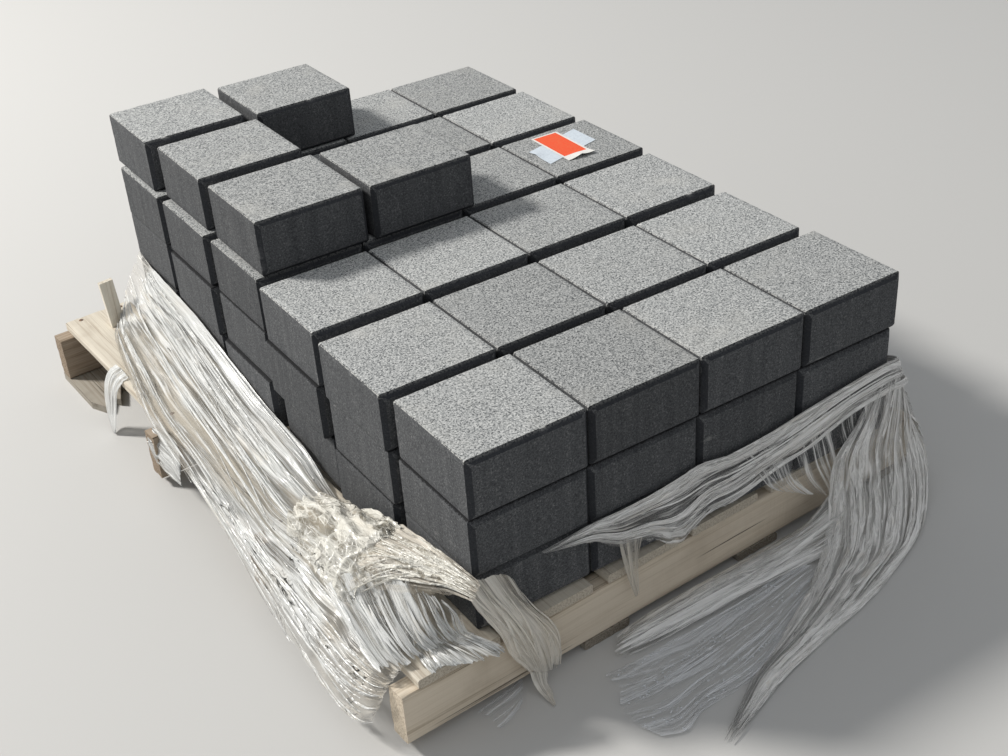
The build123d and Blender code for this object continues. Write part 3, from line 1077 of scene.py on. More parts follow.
def spans(rows):
    """Length of a surface along its middle, and its greatest width."""
    middle = rows[:, rows.shape[1] // 2]
    length = np.linalg.norm(np.diff(middle, axis=0), axis=1).sum()
    width = np.linalg.norm(np.diff(rows, axis=1), axis=2).sum(1).max()
    return length, width


def film_sheet(
    name,
    rows,
    finish,
    outside,
    held,
    nodes_for=(),
    step=(0.009, 0.0028),
    fold=(0.0022, 0.014, 0.45),
    crumple=0.0,
    patches=(),
    windows=(),
    fray=(0.006, 0.006),
    ends=((0.0, 0.0), (0.0, 0.0)),
    seed=1,
):
    """A wrinkled sheet through rows of places on the load.

    step is the mesh spacing with and across the pull, fold the height, width and length of
    the folds, crumple the height of creases all over, patches are (share along, share
    across, reach, height) of more, windows are (share along, share across, reach, how much)
    of thinner film, fray is how far the two side borders wander, and ends is how far the
    first and last ends wander and fringe."""
    rows = on_stack(rows)
    laid_sheets[name] = (rows, outside, held)
    length, width = spans(rows)
    count_u, count_v = max(6, round(length / step[0])), max(4, round(width / step[1]))
    share_u, share_v = np.meshgrid(
        np.linspace(0, 1, count_u + 1), np.linspace(0, 1, count_v + 1), indexing="ij"
    )
    low = border(fray[0], share_u * length, seed) / width
    high = 1 - border(fray[1], share_u * length, seed + 2) / width
    v = low + (high - low) * share_v
    edge = share_v * width
    torn = [np.abs(plane_noise(edge / tooth_width, edge, seed + end)) for end in (0, 1)]
    starts = border(ends[0][0], edge, seed + 4) + ends[0][1] * torn[0]
    stops = border(ends[1][0], edge, seed + 6) + ends[1][1] * torn[1]
    u = starts / length + (1 - (starts + stops) / length) * share_u
    base = between(rows, u, v)
    normal, flip = facing_out(np.gradient(base, axis=0), np.gradient(base, axis=1), outside)
    a, c = u * length, v * width
    height, fold_width, fold_length = fold
    lean = 0.012 * plane_noise(a / 0.3, c / 0.15, seed + 9)
    squeeze = fold_width / fold_length
    rise = height * creases(a * squeeze * 1.5, c + lean, fold_width * 1.2, seed + 10)
    rise += height * 0.5 * creases(a * squeeze * 2.5, c - lean, fold_width * 0.5, seed + 12)
    rise += height * 1.2 * plane_noise(a / 0.2, c / 0.06, seed + 14)
    if crumple:
        rise += crumple * creases(a, c * 1.2, 0.05, seed + 15)
        rise += 0.4 * crumple * creases(a, c, 0.021, seed + 16)
    for at_u, at_v, reach, depth in patches:
        gap = np.hypot((u - at_u) * length, (v - at_v) * width)
        rise += np.clip(1.25 - gap / reach, 0, 1) * depth * creases(a, c, 0.028, seed + 17)
    thin = np.zeros_like(a)
    for at_u, at_v, reach, much in windows:
        gap = np.hypot((u - at_u) * length, (v - at_v) * width)
        ragged = 0.5 * plane_noise(a / 0.03, c / 0.02, seed + 20)
        thin = np.maximum(thin, much * np.clip(1.5 - gap / reach + ragged, 0, 1))
    points = clear_of_solids((base + normal * rise[..., None]).reshape(-1, 3))
    faces = grid_faces(count_u, count_v)
    if flip:
        faces = [quad[::-1] for quad in faces]
    pull_map = np.column_stack([a.ravel(), c.ravel()])
    return film_piece(
        name, points, faces, pull_map, thin.ravel(), finish, nodes_for
    )


# %% [markdown]
# ### Loose strands
#
# Where the film has split along its folds, narrow ropes of it lie over the sheet and cross
# one another at small angles. Each strand is a thin ridged ribbon between two places on
# the sheet. All the strands of one sheet are one piece, cut from one length of film.

# %% Strands of film
piece_length, piece_wander = 0.013, 0.015
map_gap, edge_drop = 0.01, 0.0004
ridge_height, strand_clearance = 0.0011, 0.0015


def film_strands(name, sheet_name, lays, finish, wide, seed):
    """Ridged ribbons over the surface of a sheet that is already laid.

    Each lay is (count, along range and across range of the starts, then of the ends, and
    how far strands stray across from their order). wide is the least and the greatest
    width of a ribbon."""
    rows, outside, held = laid_sheets[sheet_name]
    length, width = spans(rows)
    random = np.random.default_rng(seed)
    points, faces, flats = [], [], []
    for count, u0, v0, u1, v1, stray in lays:
        for strand in range(count):
            place = random.uniform()
            start = np.array([random.uniform(*u0), v0[0] + place * (v0[1] - v0[0])])
            stop = np.array([random.uniform(*u1), v1[0] + place * (v1[1] - v1[0])])
            stop[1] = np.clip(stop[1] + random.normal(0, stray), 0.01, 0.99)
            half = random.uniform(*wide) / 2
            pieces = max(4, round(np.hypot(*((stop - start) * (length, width))) / piece_length))
            t = np.linspace(0, 1, pieces + 1)
            path = start + (stop - start) * t[:, None]
            wander = random.uniform(-piece_wander, piece_wander)
            path[:, 1] += wander * np.sin(np.pi * t * random.uniform(0.8, 2.2))
            u, v = path[:, 0], path[:, 1]
            centre = between(rows, u, v)
            way_u = between(rows, u + 0.01, v) - between(rows, u - 0.01, v)
            way_v = between(rows, u, v + 0.02) - between(rows, u, v - 0.02)
            normal = facing_out(way_u, way_v, outside)[0]
            ahead = np.gradient(centre, axis=0)
            side = np.cross(normal, ahead)
            side /= np.maximum(np.linalg.norm(side, axis=1, keepdims=True), 1e-9)
            taper = np.minimum(1, 0.2 + 4 * np.minimum(t, 1 - t))
            waves = 0.0008 * plane_noise(t * length / 0.05, t * 0 + strand, seed)
            lift = strand_clearance + random.uniform(0, 0.004) * np.sin(np.pi * t) + waves
            low_edge = lift - edge_drop
            first = len(points)
            for step_at in range(pieces + 1):
                n, s = normal[step_at], side[step_at] * half * taper[step_at]
                top = centre[step_at] + n * (lift[step_at] + ridge_height)
                foot = centre[step_at] + n * low_edge[step_at]
                points += [foot - s, top, foot + s]
                along, across = t[step_at] * length, strand * map_gap
                flats += [(along, across), (along, across + half), (along, across + 2 * half)]
            for step_at in range(pieces):
                at = first + 3 * step_at
                faces += [(at, at + 3, at + 4, at + 1), (at + 1, at + 4, at + 5, at + 2)]
    points = clear_of_solids(np.array(points))
    face = points[list(faces[0])]
    way = np.cross(face[1] - face[0], face[3] - face[0])
    if way @ np.array(outside) < 0:
        faces = [f[::-1] for f in faces]
    thin = np.zeros(len(points))
    return film_piece(
        name, points, faces, np.array(flats), thin, finish, ()
    )


# %% [markdown]
# ### Left drape
#
# The widest sheet runs down the whole left side. Its upper border leans on the blocks, and
# from there it falls to the deck and on over the deck's edge, where it hangs as a skirt
# near the front. By the front corner it is bunched up against the lowest blocks.

# %% Left drape
left_rows = [
    [(-4, 1252, 124), (-24, 1246, 98), (-44, 1238, 72), (-58, 1230, 46),
     (-66, 1222, 26), (-71, 1214, 10), (-73, 1208, 4)],
    [(-5, 1190, 112), (-26, 1188, 88), (-50, 1186, 58), (-74, 1184, 34),
     (-92, 1182, 16), (-101, 1180, 7), (-106, 1178, 4)],
    [(-5, 1122, 106), (-28, 1122, 78), (-56, 1122, 48), (-86, 1122, 22),
     (-106, 1122, 9), (-117, 1122, 5), (-124, 1122, 3)],
    [(-5, 980, 97), (-30, 980, 70), (-62, 980, 42), (-94, 980, 19),
     (-122, 980, 8), (-140, 980, 5), (-152, 980, 2)],
    [(-5, 820, 70), (-34, 820, 52), (-68, 820, 33), (-104, 820, 16),
     (-138, 820, 8), (-158, 820, 4), (-172, 818, -8)],
    [(-5, 660, 41), (-36, 660, 36), (-72, 660, 26), (-108, 660, 14),
     (-140, 660, 7), (-164, 658, 1), (-177, 655, -14)],
    [(-5, 530, 33), (-38, 530, 32), (-76, 528, 26), (-112, 524, 17),
     (-144, 520, 6), (-168, 514, -16), (-180, 508, -46)],
    [(-12, 420, 4), (-38, 416, 20), (-76, 412, 28), (-116, 406, 22),
     (-148, 398, 4), (-172, 392, -34), (-183, 386, -80)],
    [(-12, 320, 6), (-38, 316, 34), (-74, 310, 44), (-112, 302, 34),
     (-146, 294, 8), (-174, 286, -38), (-188, 280, -94)],
    [(-12, 230, 42), (-38, 226, 58), (-72, 218, 60), (-108, 208, 44),
     (-144, 200, 10), (-177, 192, -42), (-193, 186, -98)],
    [(-34, 142, 58), (-52, 136, 58), (-78, 128, 50), (-108, 118, 32),
     (-142, 110, 6), (-176, 102, -44), (-192, 98, -102)],
    [(-62, 78, 44), (-76, 72, 40), (-94, 62, 30), (-116, 50, 16),
     (-140, 42, 2), (-168, 38, -38), (-188, 40, -90)],
    [(-84, 20, 22), (-94, 14, 18), (-106, 8, 13), (-117, 3, 8), (-130, 0, 1), (-156, 4, -24), (-176, 8, -70)],
]
film_sheet(
    "film_left_side",
    left_rows,
    white_film,
    (-0.6, 0.0, 1.0),
    "draped",
    ["film_left_drape", "film_left_skirt"],
    step=(0.009, 0.0026),
    fold=(0.0015, 0.016, 0.8),
    crumple=0.0008,
    patches=((0.72, 0.3, 0.09, 0.005), (0.25, 0.85, 0.10, 0.003), (0.38, 0.8, 0.08, 0.002)),
    windows=(
        (0.03, 0.15, 0.08, 0.6),
        (0.2, 0.8, 0.1, 0.8),
        (0.34, 0.9, 0.09, 0.9),
        (0.45, 0.55, 0.05, 0.5),
        (0.62, 0.15, 0.06, 0.5),
        (0.82, 1.0, 0.08, 0.9),
        (0.95, 0.85, 0.09, 1.0),
    ),
    fray=(0.005, 0.02),
    ends=((0.02, 0.02), (0.03, 0.03)),
    seed=11,
)
film_strands(
    "film_left_strands",
    "film_left_side",
    [
        (20, (0.0, 0.12), (0.02, 0.75), (0.35, 0.75), (0.25, 0.98), 0.05),
        (16, (0.1, 0.4), (0.02, 0.6), (0.5, 0.8), (0.05, 0.85), 0.09),
        (34, (0.5, 0.72), (0.2, 0.9), (0.88, 0.99), (0.1, 0.98), 0.06),
    ],
    white_film,
    wide=(0.0015, 0.0045),
    seed=19,
)

# %% [markdown]
# ### Front left corner
#
# The pull ends at the corner, so the film is loose here. A crumpled bunch lies on the drape,
# and before it a gathered sheet climbs the blocks and runs together at the corner. A pleated
# sheet falls from under both to the deck, with a clear place in it, and ends in a flap that
# spills over the deck board's end with a scalloped edge. A wrap, almost clear, goes round the
# lowest block and down over the front stringer, so the timber shows through it.

# %% Corner bunch
bunch_rows = [
    [(-34, 402, 24), (-52, 404, 38), (-74, 404, 42), (-96, 400, 38), (-116, 392, 26)],
    [(-14, 356, 22), (-42, 352, 50), (-74, 348, 58), (-106, 338, 52), (-134, 326, 30)],
    [(-9, 300, 32), (-38, 294, 62), (-74, 286, 74), (-112, 272, 64), (-144, 256, 34)],
    [(-9, 248, 56), (-38, 240, 80), (-74, 230, 86), (-114, 214, 70), (-146, 198, 34)],
    [(-9, 204, 72), (-38, 194, 90), (-72, 182, 86), (-110, 168, 66), (-140, 152, 34)],
    [(-9, 172, 82), (-36, 162, 90), (-70, 150, 82), (-104, 136, 60), (-130, 124, 34)],
]
film_sheet(
    "film_corner_bunch",
    bunch_rows,
    bunch_film,
    (-0.6, -0.2, 1.0),
    "gathered",
    step=(0.0036, 0.0036),
    fold=(0.0010, 0.014, 0.12),
    crumple=0.0058,
    windows=((0.5, 0.0, 0.04, 0.6), (0.1, 0.1, 0.03, 0.6)),
    fray=(0.016, 0.022),
    ends=((0.03, 0.02), (0.02, 0.02)),
    seed=23,
)

# %% Gathered film
gather_rows = [
    [(-2, -20, 110), (-9, -24, 106), (-15, -27, 101), (-20, -29, 96), (-24, -30, 91)],
    [(-7, 29, 113), (-18, 27, 108), (-27, 23, 101), (-34, 18, 93), (-38, 13, 84)],
    [(-7, 72, 106), (-26, 68, 103), (-42, 61, 97), (-54, 52, 88), (-62, 44, 77)],
    [(-7, 112, 99), (-32, 108, 98), (-55, 100, 93), (-74, 89, 84), (-88, 78, 72)],
    [(-7, 160, 89), (-38, 154, 91), (-68, 144, 88), (-96, 130, 77), (-114, 114, 62)],
    [(-7, 206, 76), (-42, 198, 80), (-78, 186, 77), (-110, 168, 62), (-132, 150, 44)],
]
film_sheet(
    "film_corner_gather",
    gather_rows,
    thin_film,
    (-0.6, -0.2, 1.0),
    "gathered",
    step=(0.005, 0.0028),
    fold=(0.0030, 0.016, 0.2),
    crumple=0.0024,
    windows=((0.25, 1.0, 0.03, 1.0), (0.5, 1.0, 0.04, 1.0), (0.8, 1.0, 0.04, 0.9)),
    fray=(0.003, 0.030),
    ends=((0.006, 0.004), (0.02, 0.02)),
    seed=29,
)
film_strands(
    "film_gather_strands",
    "film_corner_gather",
    [
        (30, (0.0, 0.1), (0.02, 0.7), (0.6, 1.0), (0.02, 0.75), 0.05),
        (16, (0.25, 0.5), (0.1, 0.5), (0.7, 1.0), (0.3, 0.95), 0.2),
    ],
    bunch_film,
    wide=(0.0012, 0.004),
    seed=31,
)

# %% Torn tip
tip_rows = [
    [(-9, 338, 4), (-16, 336, 16), (-14, 334, 26)],
    [(-8, 306, 16), (-20, 304, 36), (-12, 302, 50)],
    [(-8, 262, 34), (-24, 260, 56), (-12, 258, 70)],
    [(-8, 218, 52), (-22, 216, 70), (-11, 215, 82)],
    [(-8, 184, 66), (-14, 183, 78), (-9, 182, 86)],
]
film_sheet(
    "film_torn_tip",
    tip_rows,
    bunch_film,
    (-1.0, 0.0, 0.2),
    "draped",
    step=(0.004, 0.0026),
    fold=(0.002, 0.010, 0.08),
    crumple=0.003,
    fray=(0.003, 0.014),
    ends=((0.01, 0.01), (0.01, 0.01)),
    seed=33,
)

# %% Pleated fall
fall_rows = [
    [(-140, 219, 40), (-118, 178, 62), (-92, 139, 78), (-74, 92, 86), (-58, 46, 86), (-45, 8, 84)],
    [(-147, 168, 28), (-124, 130, 42), (-100, 92, 54), (-78, 54, 62), (-56, 21, 66), (-33, -10, 68)],
    [(-151, 116, 16), (-127, 83, 27), (-103, 52, 36), (-79, 24, 43), (-52, 8, 46), (-29, -9, 48)],
    [(-156, 63, 8), (-129, 38, 15), (-103, 18, 22), (-73, 6, 28), (-45, -5, 32), (-27, -14, 33)],
    [(-157, 13, 4), (-126, 3, 7), (-96, 1, 11), (-63, -1, 15), (-35, -8, 19), (-15, -14, 22)],
]
film_sheet(
    "film_corner_fall",
    fall_rows,
    pleat_film,
    (-0.6, -0.5, 1.0),
    "draped",
    step=(0.006, 0.0024),
    fold=(0.0014, 0.011, 0.4),
    windows=((0.4, 0.8, 0.03, 0.7), (0.6, 0.65, 0.02, 0.6), (0.3, 1.0, 0.03, 0.8)),
    fray=(0.006, 0.006),
    ends=((0.01, 0.01), (0.012, 0.016)),
    seed=34,
)
film_strands(
    "film_fall_strands",
    "film_corner_fall",
    [(44, (0.0, 0.35), (0.02, 0.95), (0.7, 1.0), (0.02, 0.9), 0.03)],
    white_film,
    wide=(0.0015, 0.005),
    seed=35,
)

# %% Corner flap
flap_rows = [
    [(-96, 36, 8), (-78, 32, 9), (-60, 27, 12), (-42, 18, 18), (-24, 6, 26)],
    [(-98, 12, 6), (-78, 8, 8), (-58, 2, 12), (-36, -6, 17), (-14, -16, 20)],
    [(-98, -8, 4), (-78, -10, 7), (-54, -16, 13), (-28, -26, 16), (-4, -32, 14)],
    [(-98, -22, 3), (-76, -24, 6), (-48, -36, 11), (-20, -44, 12), (8, -44, 8)],
    [(-96, -30, 2), (-74, -30, 4), (-42, -50, 7), (-12, -60, 6), (14, -52, 2)],
]
film_sheet(
    "film_corner_flap",
    flap_rows,
    white_film,
    (0.0, -0.6, 1.0),
    "draped",
    step=(0.004, 0.0024),
    fold=(0.0036, 0.013, 0.2),
    crumple=0.001,
    windows=((0.3, 0.25, 0.012, 1.0),),
    ends=((0.004, 0.004), (0.016, 0.008)),
    seed=37,
)
film_strands(
    "film_flap_strands",
    "film_corner_flap",
    [(34, (0.0, 0.3), (0.02, 0.98), (0.8, 1.0), (0.02, 0.98), 0.04)],
    white_film,
    wide=(0.0015, 0.005),
    seed=41,
)

# %% Corner wrap
wrap_rows = [
    [(-22, 4, 116), (-12, -10, 116), (4, -14, 114), (22, -14, 110), (38, -14, 104), (52, -14, 88)],
    [(-20, -14, 84), (-4, -22, 86), (16, -24, 84), (34, -22, 78), (52, -20, 66), (66, -18, 52)],
    [(-2, -26, 44), (16, -30, 48), (34, -31, 48), (52, -29, 40), (70, -26, 28), (84, -22, 14)],
    [(14, -32, 12), (30, -35, 12), (50, -36, 10), (70, -34, 2), (90, -31, -8), (106, -27, -18)],
    [(27, -31, -30), (44, -33, -26), (62, -33, -26), (82, -32, -32), (102, -30, -40), (117, -26, -48)],
    [(46, -30, -62), (58, -31, -62), (73, -31, -64), (90, -30, -68), (107, -28, -74), (120, -25, -78)],
    [(64, -29, -94), (73, -30, -98), (84, -30, -102), (96, -29, -105), (107, -27, -108), (116, -24, -110)],
]
film_sheet(
    "film_corner_wrap",
    wrap_rows,
    wrap_film,
    (0.0, -1.0, 0.3),
    "draped",
    ["film_corner_loop"],
    step=(0.0055, 0.0028),
    fold=(0.0016, 0.030, 0.2),
    crumple=0.0016,
    fray=(0.003, 0.003),
    ends=((0.004, 0.004), (0.012, 0.012)),
    seed=51,
)
film_strands(
    "film_wrap_strands",
    "film_corner_wrap",
    [(12, (0.0, 0.3), (0.02, 0.98), (0.75, 1.0), (0.02, 0.98), 0.2)],
    wrap_film,
    wide=(0.0015, 0.004),
    seed=57,
)

# %% Tail of the wrap
tail_rows = [
    [(60, -28, -86), (72, -29, -92), (84, -29, -97), (94, -28, -100)],
    [(62, -36, -108), (72, -38, -112), (80, -38, -114), (86, -36, -115)],
    [(64, -52, -117), (70, -54, -117), (77, -54, -117), (82, -52, -118)],
    [(66, -78, -118), (68, -79, -118), (71, -79, -118), (73, -78, -118)],
]
film_sheet(
    "film_wrap_tail",
    tail_rows,
    wrap_film,
    (0.0, -1.0, 0.3),
    "hung",
    step=(0.005, 0.003),
    fold=(0.002, 0.01, 0.1),
    fray=(0.003, 0.003),
    ends=((0.0, 0.0), (0.01, 0.01)),
    seed=61,
)

# %% [markdown]
# ### Front band
#
# Across the front the film is still stretched flat on the blocks. It comes from the right
# corner, where it goes round to the right side, and tapers to a torn point on the left,
# with ragged flaps hanging from its lower border.

# %% Front band
band_rows = [
    [(108, -8, 101), (109, -8, 100), (110, -8, 99), (111, -8, 98), (112, -8, 97)],
    [(150, -8, 106), (150, -9, 102), (150, -10, 98), (151, -10, 93), (152, -9, 88)],
    [(196, -8, 110), (196, -10, 102), (197, -12, 94), (198, -12, 84), (200, -10, 72)],
    [(240, -8, 110), (240, -12, 96), (241, -15, 80), (242, -15, 62), (244, -12, 42)],
    [(290, -8, 111), (291, -12, 94), (292, -17, 74), (294, -18, 54), (297, -14, 30)],
    [(345, -8, 117), (346, -13, 94), (347, -18, 66), (348, -20, 34), (350, -18, 0)],
    [(400, -8, 124), (401, -13, 102), (402, -17, 80), (404, -18, 54), (407, -16, 24)],
    [(455, -8, 115), (456, -12, 98), (457, -16, 80), (459, -18, 56), (462, -16, 26)],
    [(531, -8, 119), (532, -12, 104), (533, -15, 88), (534, -17, 70), (536, -17, 48)],
    [(601, -8, 128), (602, -11, 114), (603, -14, 100), (605, -17, 82), (608, -18, 58)],
    [(690, -8, 138), (691, -10, 130), (692, -13, 118), (693, -16, 104), (695, -18, 86)],
    [(776, -8, 146), (777, -9, 138), (778, -12, 127), (780, -15, 113), (782, -18, 96)],
    [(816, -2, 142), (818, -4, 133), (822, -6, 122), (826, -9, 109), (832, -12, 94)],
    [(820, 50, 122), (823, 49, 113), (828, 48, 101), (834, 47, 88), (841, 46, 72)],
    [(819, 120, 104), (823, 119, 96), (828, 118, 86), (834, 117, 74), (841, 116, 60)],
]
film_sheet(
    "film_front",
    band_rows,
    grey_film,
    (0.1, -1.0, 0.1),
    "stretched",
    ["film_front_band"],
    step=(0.0085, 0.0026),
    fold=(0.0013, 0.014, 0.5),
    patches=((0.36, 0.7, 0.05, 0.004), (0.55, 0.75, 0.05, 0.003)),
    windows=((0.62, 0.8, 0.06, 0.4), (0.25, 0.6, 0.05, 0.3)),
    fray=(0.003, 0.02),
    ends=((0.0, 0.0), (0.02, 0.03)),
    seed=71,
)
film_strands(
    "film_front_strands",
    "film_front",
    [
        (18, (0.0, 0.3), (0.02, 0.8), (0.5, 0.95), (0.02, 0.85), 0.12),
        (16, (0.35, 0.6), (0.02, 0.9), (0.8, 1.0), (0.02, 0.95), 0.12),
    ],
    bright_film,
    wide=(0.002, 0.010),
    seed=77,
)

# %% Wisp under the band
wisp_rows = [
    [(238, -13, 60), (252, -14, 58), (266, -15, 56), (282, -15, 52)],
    [(243, -15, 20), (252, -17, 18), (262, -18, 16), (272, -17, 14)],
    [(250, -19, -18), (256, -21, -20), (262, -21, -22), (268, -20, -24)],
    [(263, -20, -58), (265, -21, -58), (267, -21, -58), (269, -20, -58)],
]
film_sheet(
    "film_front_wisp",
    wisp_rows,
    thin_film,
    (0.0, -1.0, 0.1),
    "hung",
    step=(0.006, 0.003),
    fold=(0.0015, 0.01, 0.2),
    fray=(0.002, 0.002),
    ends=((0.0, 0.0), (0.01, 0.01)),
    seed=83,
)

# %% [markdown]
# ### Right side
#
# Round the corner the film slides down the right side, over the deck and the stringers'
# ends, much as on the left.

# %% Right drape
right_rows = [
    [(822, -2, 114), (838, -8, 68), (856, -12, 28), (876, -14, -14), (894, -14, -56), (904, -12, -98)],
    [(820, 34, 112), (836, 32, 80), (857, 30, 42), (880, 28, 5), (898, 26, -38), (908, 26, -92)],
    [(819, 120, 92), (836, 120, 68), (856, 120, 38), (882, 120, 5), (900, 120, -50), (908, 120, -98)],
    [(818, 210, 72), (834, 210, 52), (853, 210, 28), (878, 210, 5), (898, 210, -40), (906, 210, -86)],
    [(818, 290, 50), (832, 290, 36), (850, 290, 18), (872, 290, 4), (892, 290, -26), (902, 290, -62)],
    [(818, 352, 24), (829, 352, 16), (843, 352, 8), (860, 352, 4), (880, 352, -10), (892, 352, -34)],
]
film_sheet(
    "film_right_side",
    right_rows,
    grey_film,
    (1.0, 0.0, 0.6),
    "draped",
    ["film_right_drape"],
    step=(0.009, 0.003),
    fold=(0.0026, 0.018, 0.4),
    patches=((0.2, 0.4, 0.08, 0.004),),
    fray=(0.004, 0.02),
    ends=((0.0, 0.0), (0.03, 0.03)),
    seed=91,
)
film_strands(
    "film_right_strands",
    "film_right_side",
    [(28, (0.0, 0.2), (0.02, 0.95), (0.6, 0.98), (0.02, 0.95), 0.05)],
    grey_film,
    wide=(0.004, 0.014),
    seed=97,
)

# %% [markdown]
# ### Fan on the ground
#
# From the front right corner the loosened film falls to the ground in a fan of strands
# that sweeps to the left in front of the pallet. Beside the stringer lies a bundle of it,
# and between the two a clear sheet with drops of water on it.

# %% Fan
fan_rows = [
    [(742, -16, 100), (770, -18, 112), (798, -16, 120), (816, -10, 120), (827, 8, 108), (833, 34, 90)],
    [(700, -26, 62), (740, -30, 70), (778, -32, 72), (810, -28, 64), (836, -14, 46), (851, 8, 28)],
    [(652, -34, 22), (700, -42, 26), (750, -46, 24), (796, -44, 16), (838, -30, 0), (868, -8, -14)],
    [(640, -40, -32), (686, -56, -26), (736, -66, -26), (788, -68, -34), (838, -52, -46), (886, -20, -58)],
    [(628, -52, -84), (670, -78, -78), (716, -94, -78), (766, -98, -84), (818, -82, -94), (872, -46, -104)],
    [(592, -78, -113), (630, -108, -108), (670, -128, -106),
     (714, -136, -108), (758, -128, -112), (800, -104, -117)],
    [(538, -112, -117), (566, -136, -114), (596, -154, -112),
     (630, -164, -113), (662, -164, -116), (694, -150, -119)],
    [(472, -148, -118), (494, -166, -115), (518, -180, -114),
     (544, -189, -115), (570, -190, -117), (596, -184, -119)],
    [(400, -180, -118), (418, -191, -116), (436, -200, -115),
     (455, -206, -116), (474, -208, -117), (492, -204, -119)],
    [(330, -208, -118), (341, -215, -117), (352, -221, -116),
     (363, -226, -117), (374, -229, -118), (384, -229, -119)],
    [(268, -244, -118), (272, -248, -118), (277, -252, -118),
     (282, -256, -118), (287, -259, -118), (292, -260, -119)],
    [(206, -276, -119), (208, -279, -119), (210, -281, -119),
     (212, -284, -119), (214, -286, -119), (216, -287, -119)],
]
film_sheet(
    "film_fan",
    fan_rows,
    grey_film,
    (0.2, -1.0, 0.6),
    "draped",
    ["film_right_fan", "film_trailing_strip"],
    step=(0.01, 0.0028),
    fold=(0.0017, 0.017, 0.6),
    patches=((0.28, 0.2, 0.06, 0.005), (0.4, 0.15, 0.05, 0.004)),
    fray=(0.012, 0.01),
    ends=((0.0, 0.0), (0.04, 0.05)),
    seed=113,
)
film_strands(
    "film_fan_strands",
    "film_fan",
    [
        (26, (0.0, 0.1), (0.02, 0.98), (0.4, 0.62), (0.02, 0.98), 0.05),
        (18, (0.1, 0.35), (0.05, 0.95), (0.6, 0.85), (0.05, 0.95), 0.08),
        (10, (0.4, 0.6), (0.3, 0.98), (0.9, 1.0), (0.2, 0.9), 0.05),
    ],
    bright_film,
    wide=(0.002, 0.012),
    seed=117,
)

# %% Web between the band and the fan
web_rows = [
    [(473, -12, 106), (563, -12, 115), (663, -12, 121), (755, -12, 123), (806, -13, 118)],
    [(500, -18, 66), (583, -19, 64), (667, -20, 72), (757, -20, 78), (812, -20, 80)],
    [(514, -30, 40), (591, -31, 18), (678, -32, 12), (750, -33, 22), (812, -30, 30)],
    [(526, -40, 28), (612, -44, -18), (680, -45, -42), (728, -46, -40), (780, -44, -24)],
]
film_sheet(
    "film_front_web",
    web_rows,
    web_film,
    (0.1, -1.0, 0.2),
    "draped",
    step=(0.007, 0.003),
    fold=(0.003, 0.03, 0.25),
    crumple=0.0012,
    fray=(0.006, 0.006),
    ends=((0.0, 0.0), (0.012, 0.006)),
    seed=119,
)

# %% Bundle
bundle_rows = [
    [(652, -26, -52), (656, -36, -40), (660, -48, -42), (662, -62, -62), (662, -74, -92), (660, -82, -114)],
    [(600, -22, -106), (602, -30, -84), (604, -42, -76), (606, -56, -84), (606, -68, -102), (606, -76, -118)],
    [(520, -16, -112), (520, -26, -98), (520, -38, -92), (520, -50, -98), (520, -62, -110), (520, -70, -119)],
    [(430, -14, -113), (430, -25, -100), (430, -38, -95),
     (430, -50, -100), (430, -61, -110), (430, -69, -119)],
    [(340, -14, -113), (340, -26, -101), (340, -39, -97),
     (340, -51, -101), (340, -61, -111), (340, -68, -119)],
    [(268, -16, -114), (264, -28, -104), (260, -40, -101),
     (256, -51, -104), (253, -60, -112), (250, -66, -119)],
    [(212, -22, -116), (208, -31, -110), (203, -40, -108),
     (199, -48, -111), (195, -54, -116), (192, -59, -119)],
]
film_sheet(
    "film_bundle",
    bundle_rows,
    grey_film,
    (0.0, -0.7, 1.0),
    "gathered",
    ["film_ground_bundle"],
    step=(0.01, 0.0024),
    fold=(0.0028, 0.01, 0.5),
    fray=(0.003, 0.005),
    ends=((0.0, 0.0), (0.03, 0.04)),
    seed=131,
)
film_strands(
    "film_bundle_strands",
    "film_bundle",
    [(22, (0.0, 0.4), (0.05, 0.95), (0.7, 1.0), (0.05, 0.95), 0.05)],
    grey_film,
    wide=(0.004, 0.012),
    seed=137,
)

# %% Clear sheet
sheet_rows = [
    [(158, -72, -119), (160, -100, -118), (140, -135, -118),
     (136, -160, -118), (140, -190, -118), (150, -216, -119)],
    [(200, -72, -119), (200, -110, -117), (196, -145, -117),
     (192, -175, -117), (190, -205, -118), (190, -230, -119)],
    [(260, -76, -118), (260, -112, -117), (258, -140, -117),
     (254, -168, -117), (248, -192, -117), (242, -213, -119)],
    [(340, -76, -118), (340, -110, -117), (338, -135, -116),
     (335, -160, -117), (332, -188, -117), (330, -212, -119)],
    [(420, -74, -118), (420, -100, -117), (420, -122, -117),
     (418, -144, -117), (414, -164, -117), (408, -182, -119)],
    [(500, -68, -118), (502, -88, -117), (502, -104, -117),
     (500, -120, -117), (496, -134, -117), (490, -148, -119)],
    [(570, -66, -118), (574, -78, -117), (576, -90, -117),
     (574, -102, -117), (570, -114, -117), (562, -126, -119)],
]
clear_sheet = film_sheet(
    "film_clear_sheet",
    sheet_rows,
    clear_film,
    (0.0, 0.0, 1.0),
    "laid",
    ["film_ground_sheet"],
    step=(0.006, 0.004),
    fold=(0.0012, 0.03, 0.3),
    crumple=0.0014,
    fray=(0.006, 0.01),
    ends=((0.02, 0.01), (0.01, 0.01)),
    seed=151,
)
film_strands(
    "film_clear_strands",
    "film_clear_sheet",
    [(20, (0.0, 0.4), (0.05, 0.95), (0.5, 1.0), (0.05, 0.95), 0.05)],
    clear_film,
    wide=(0.0015, 0.004),
    seed=157,
)

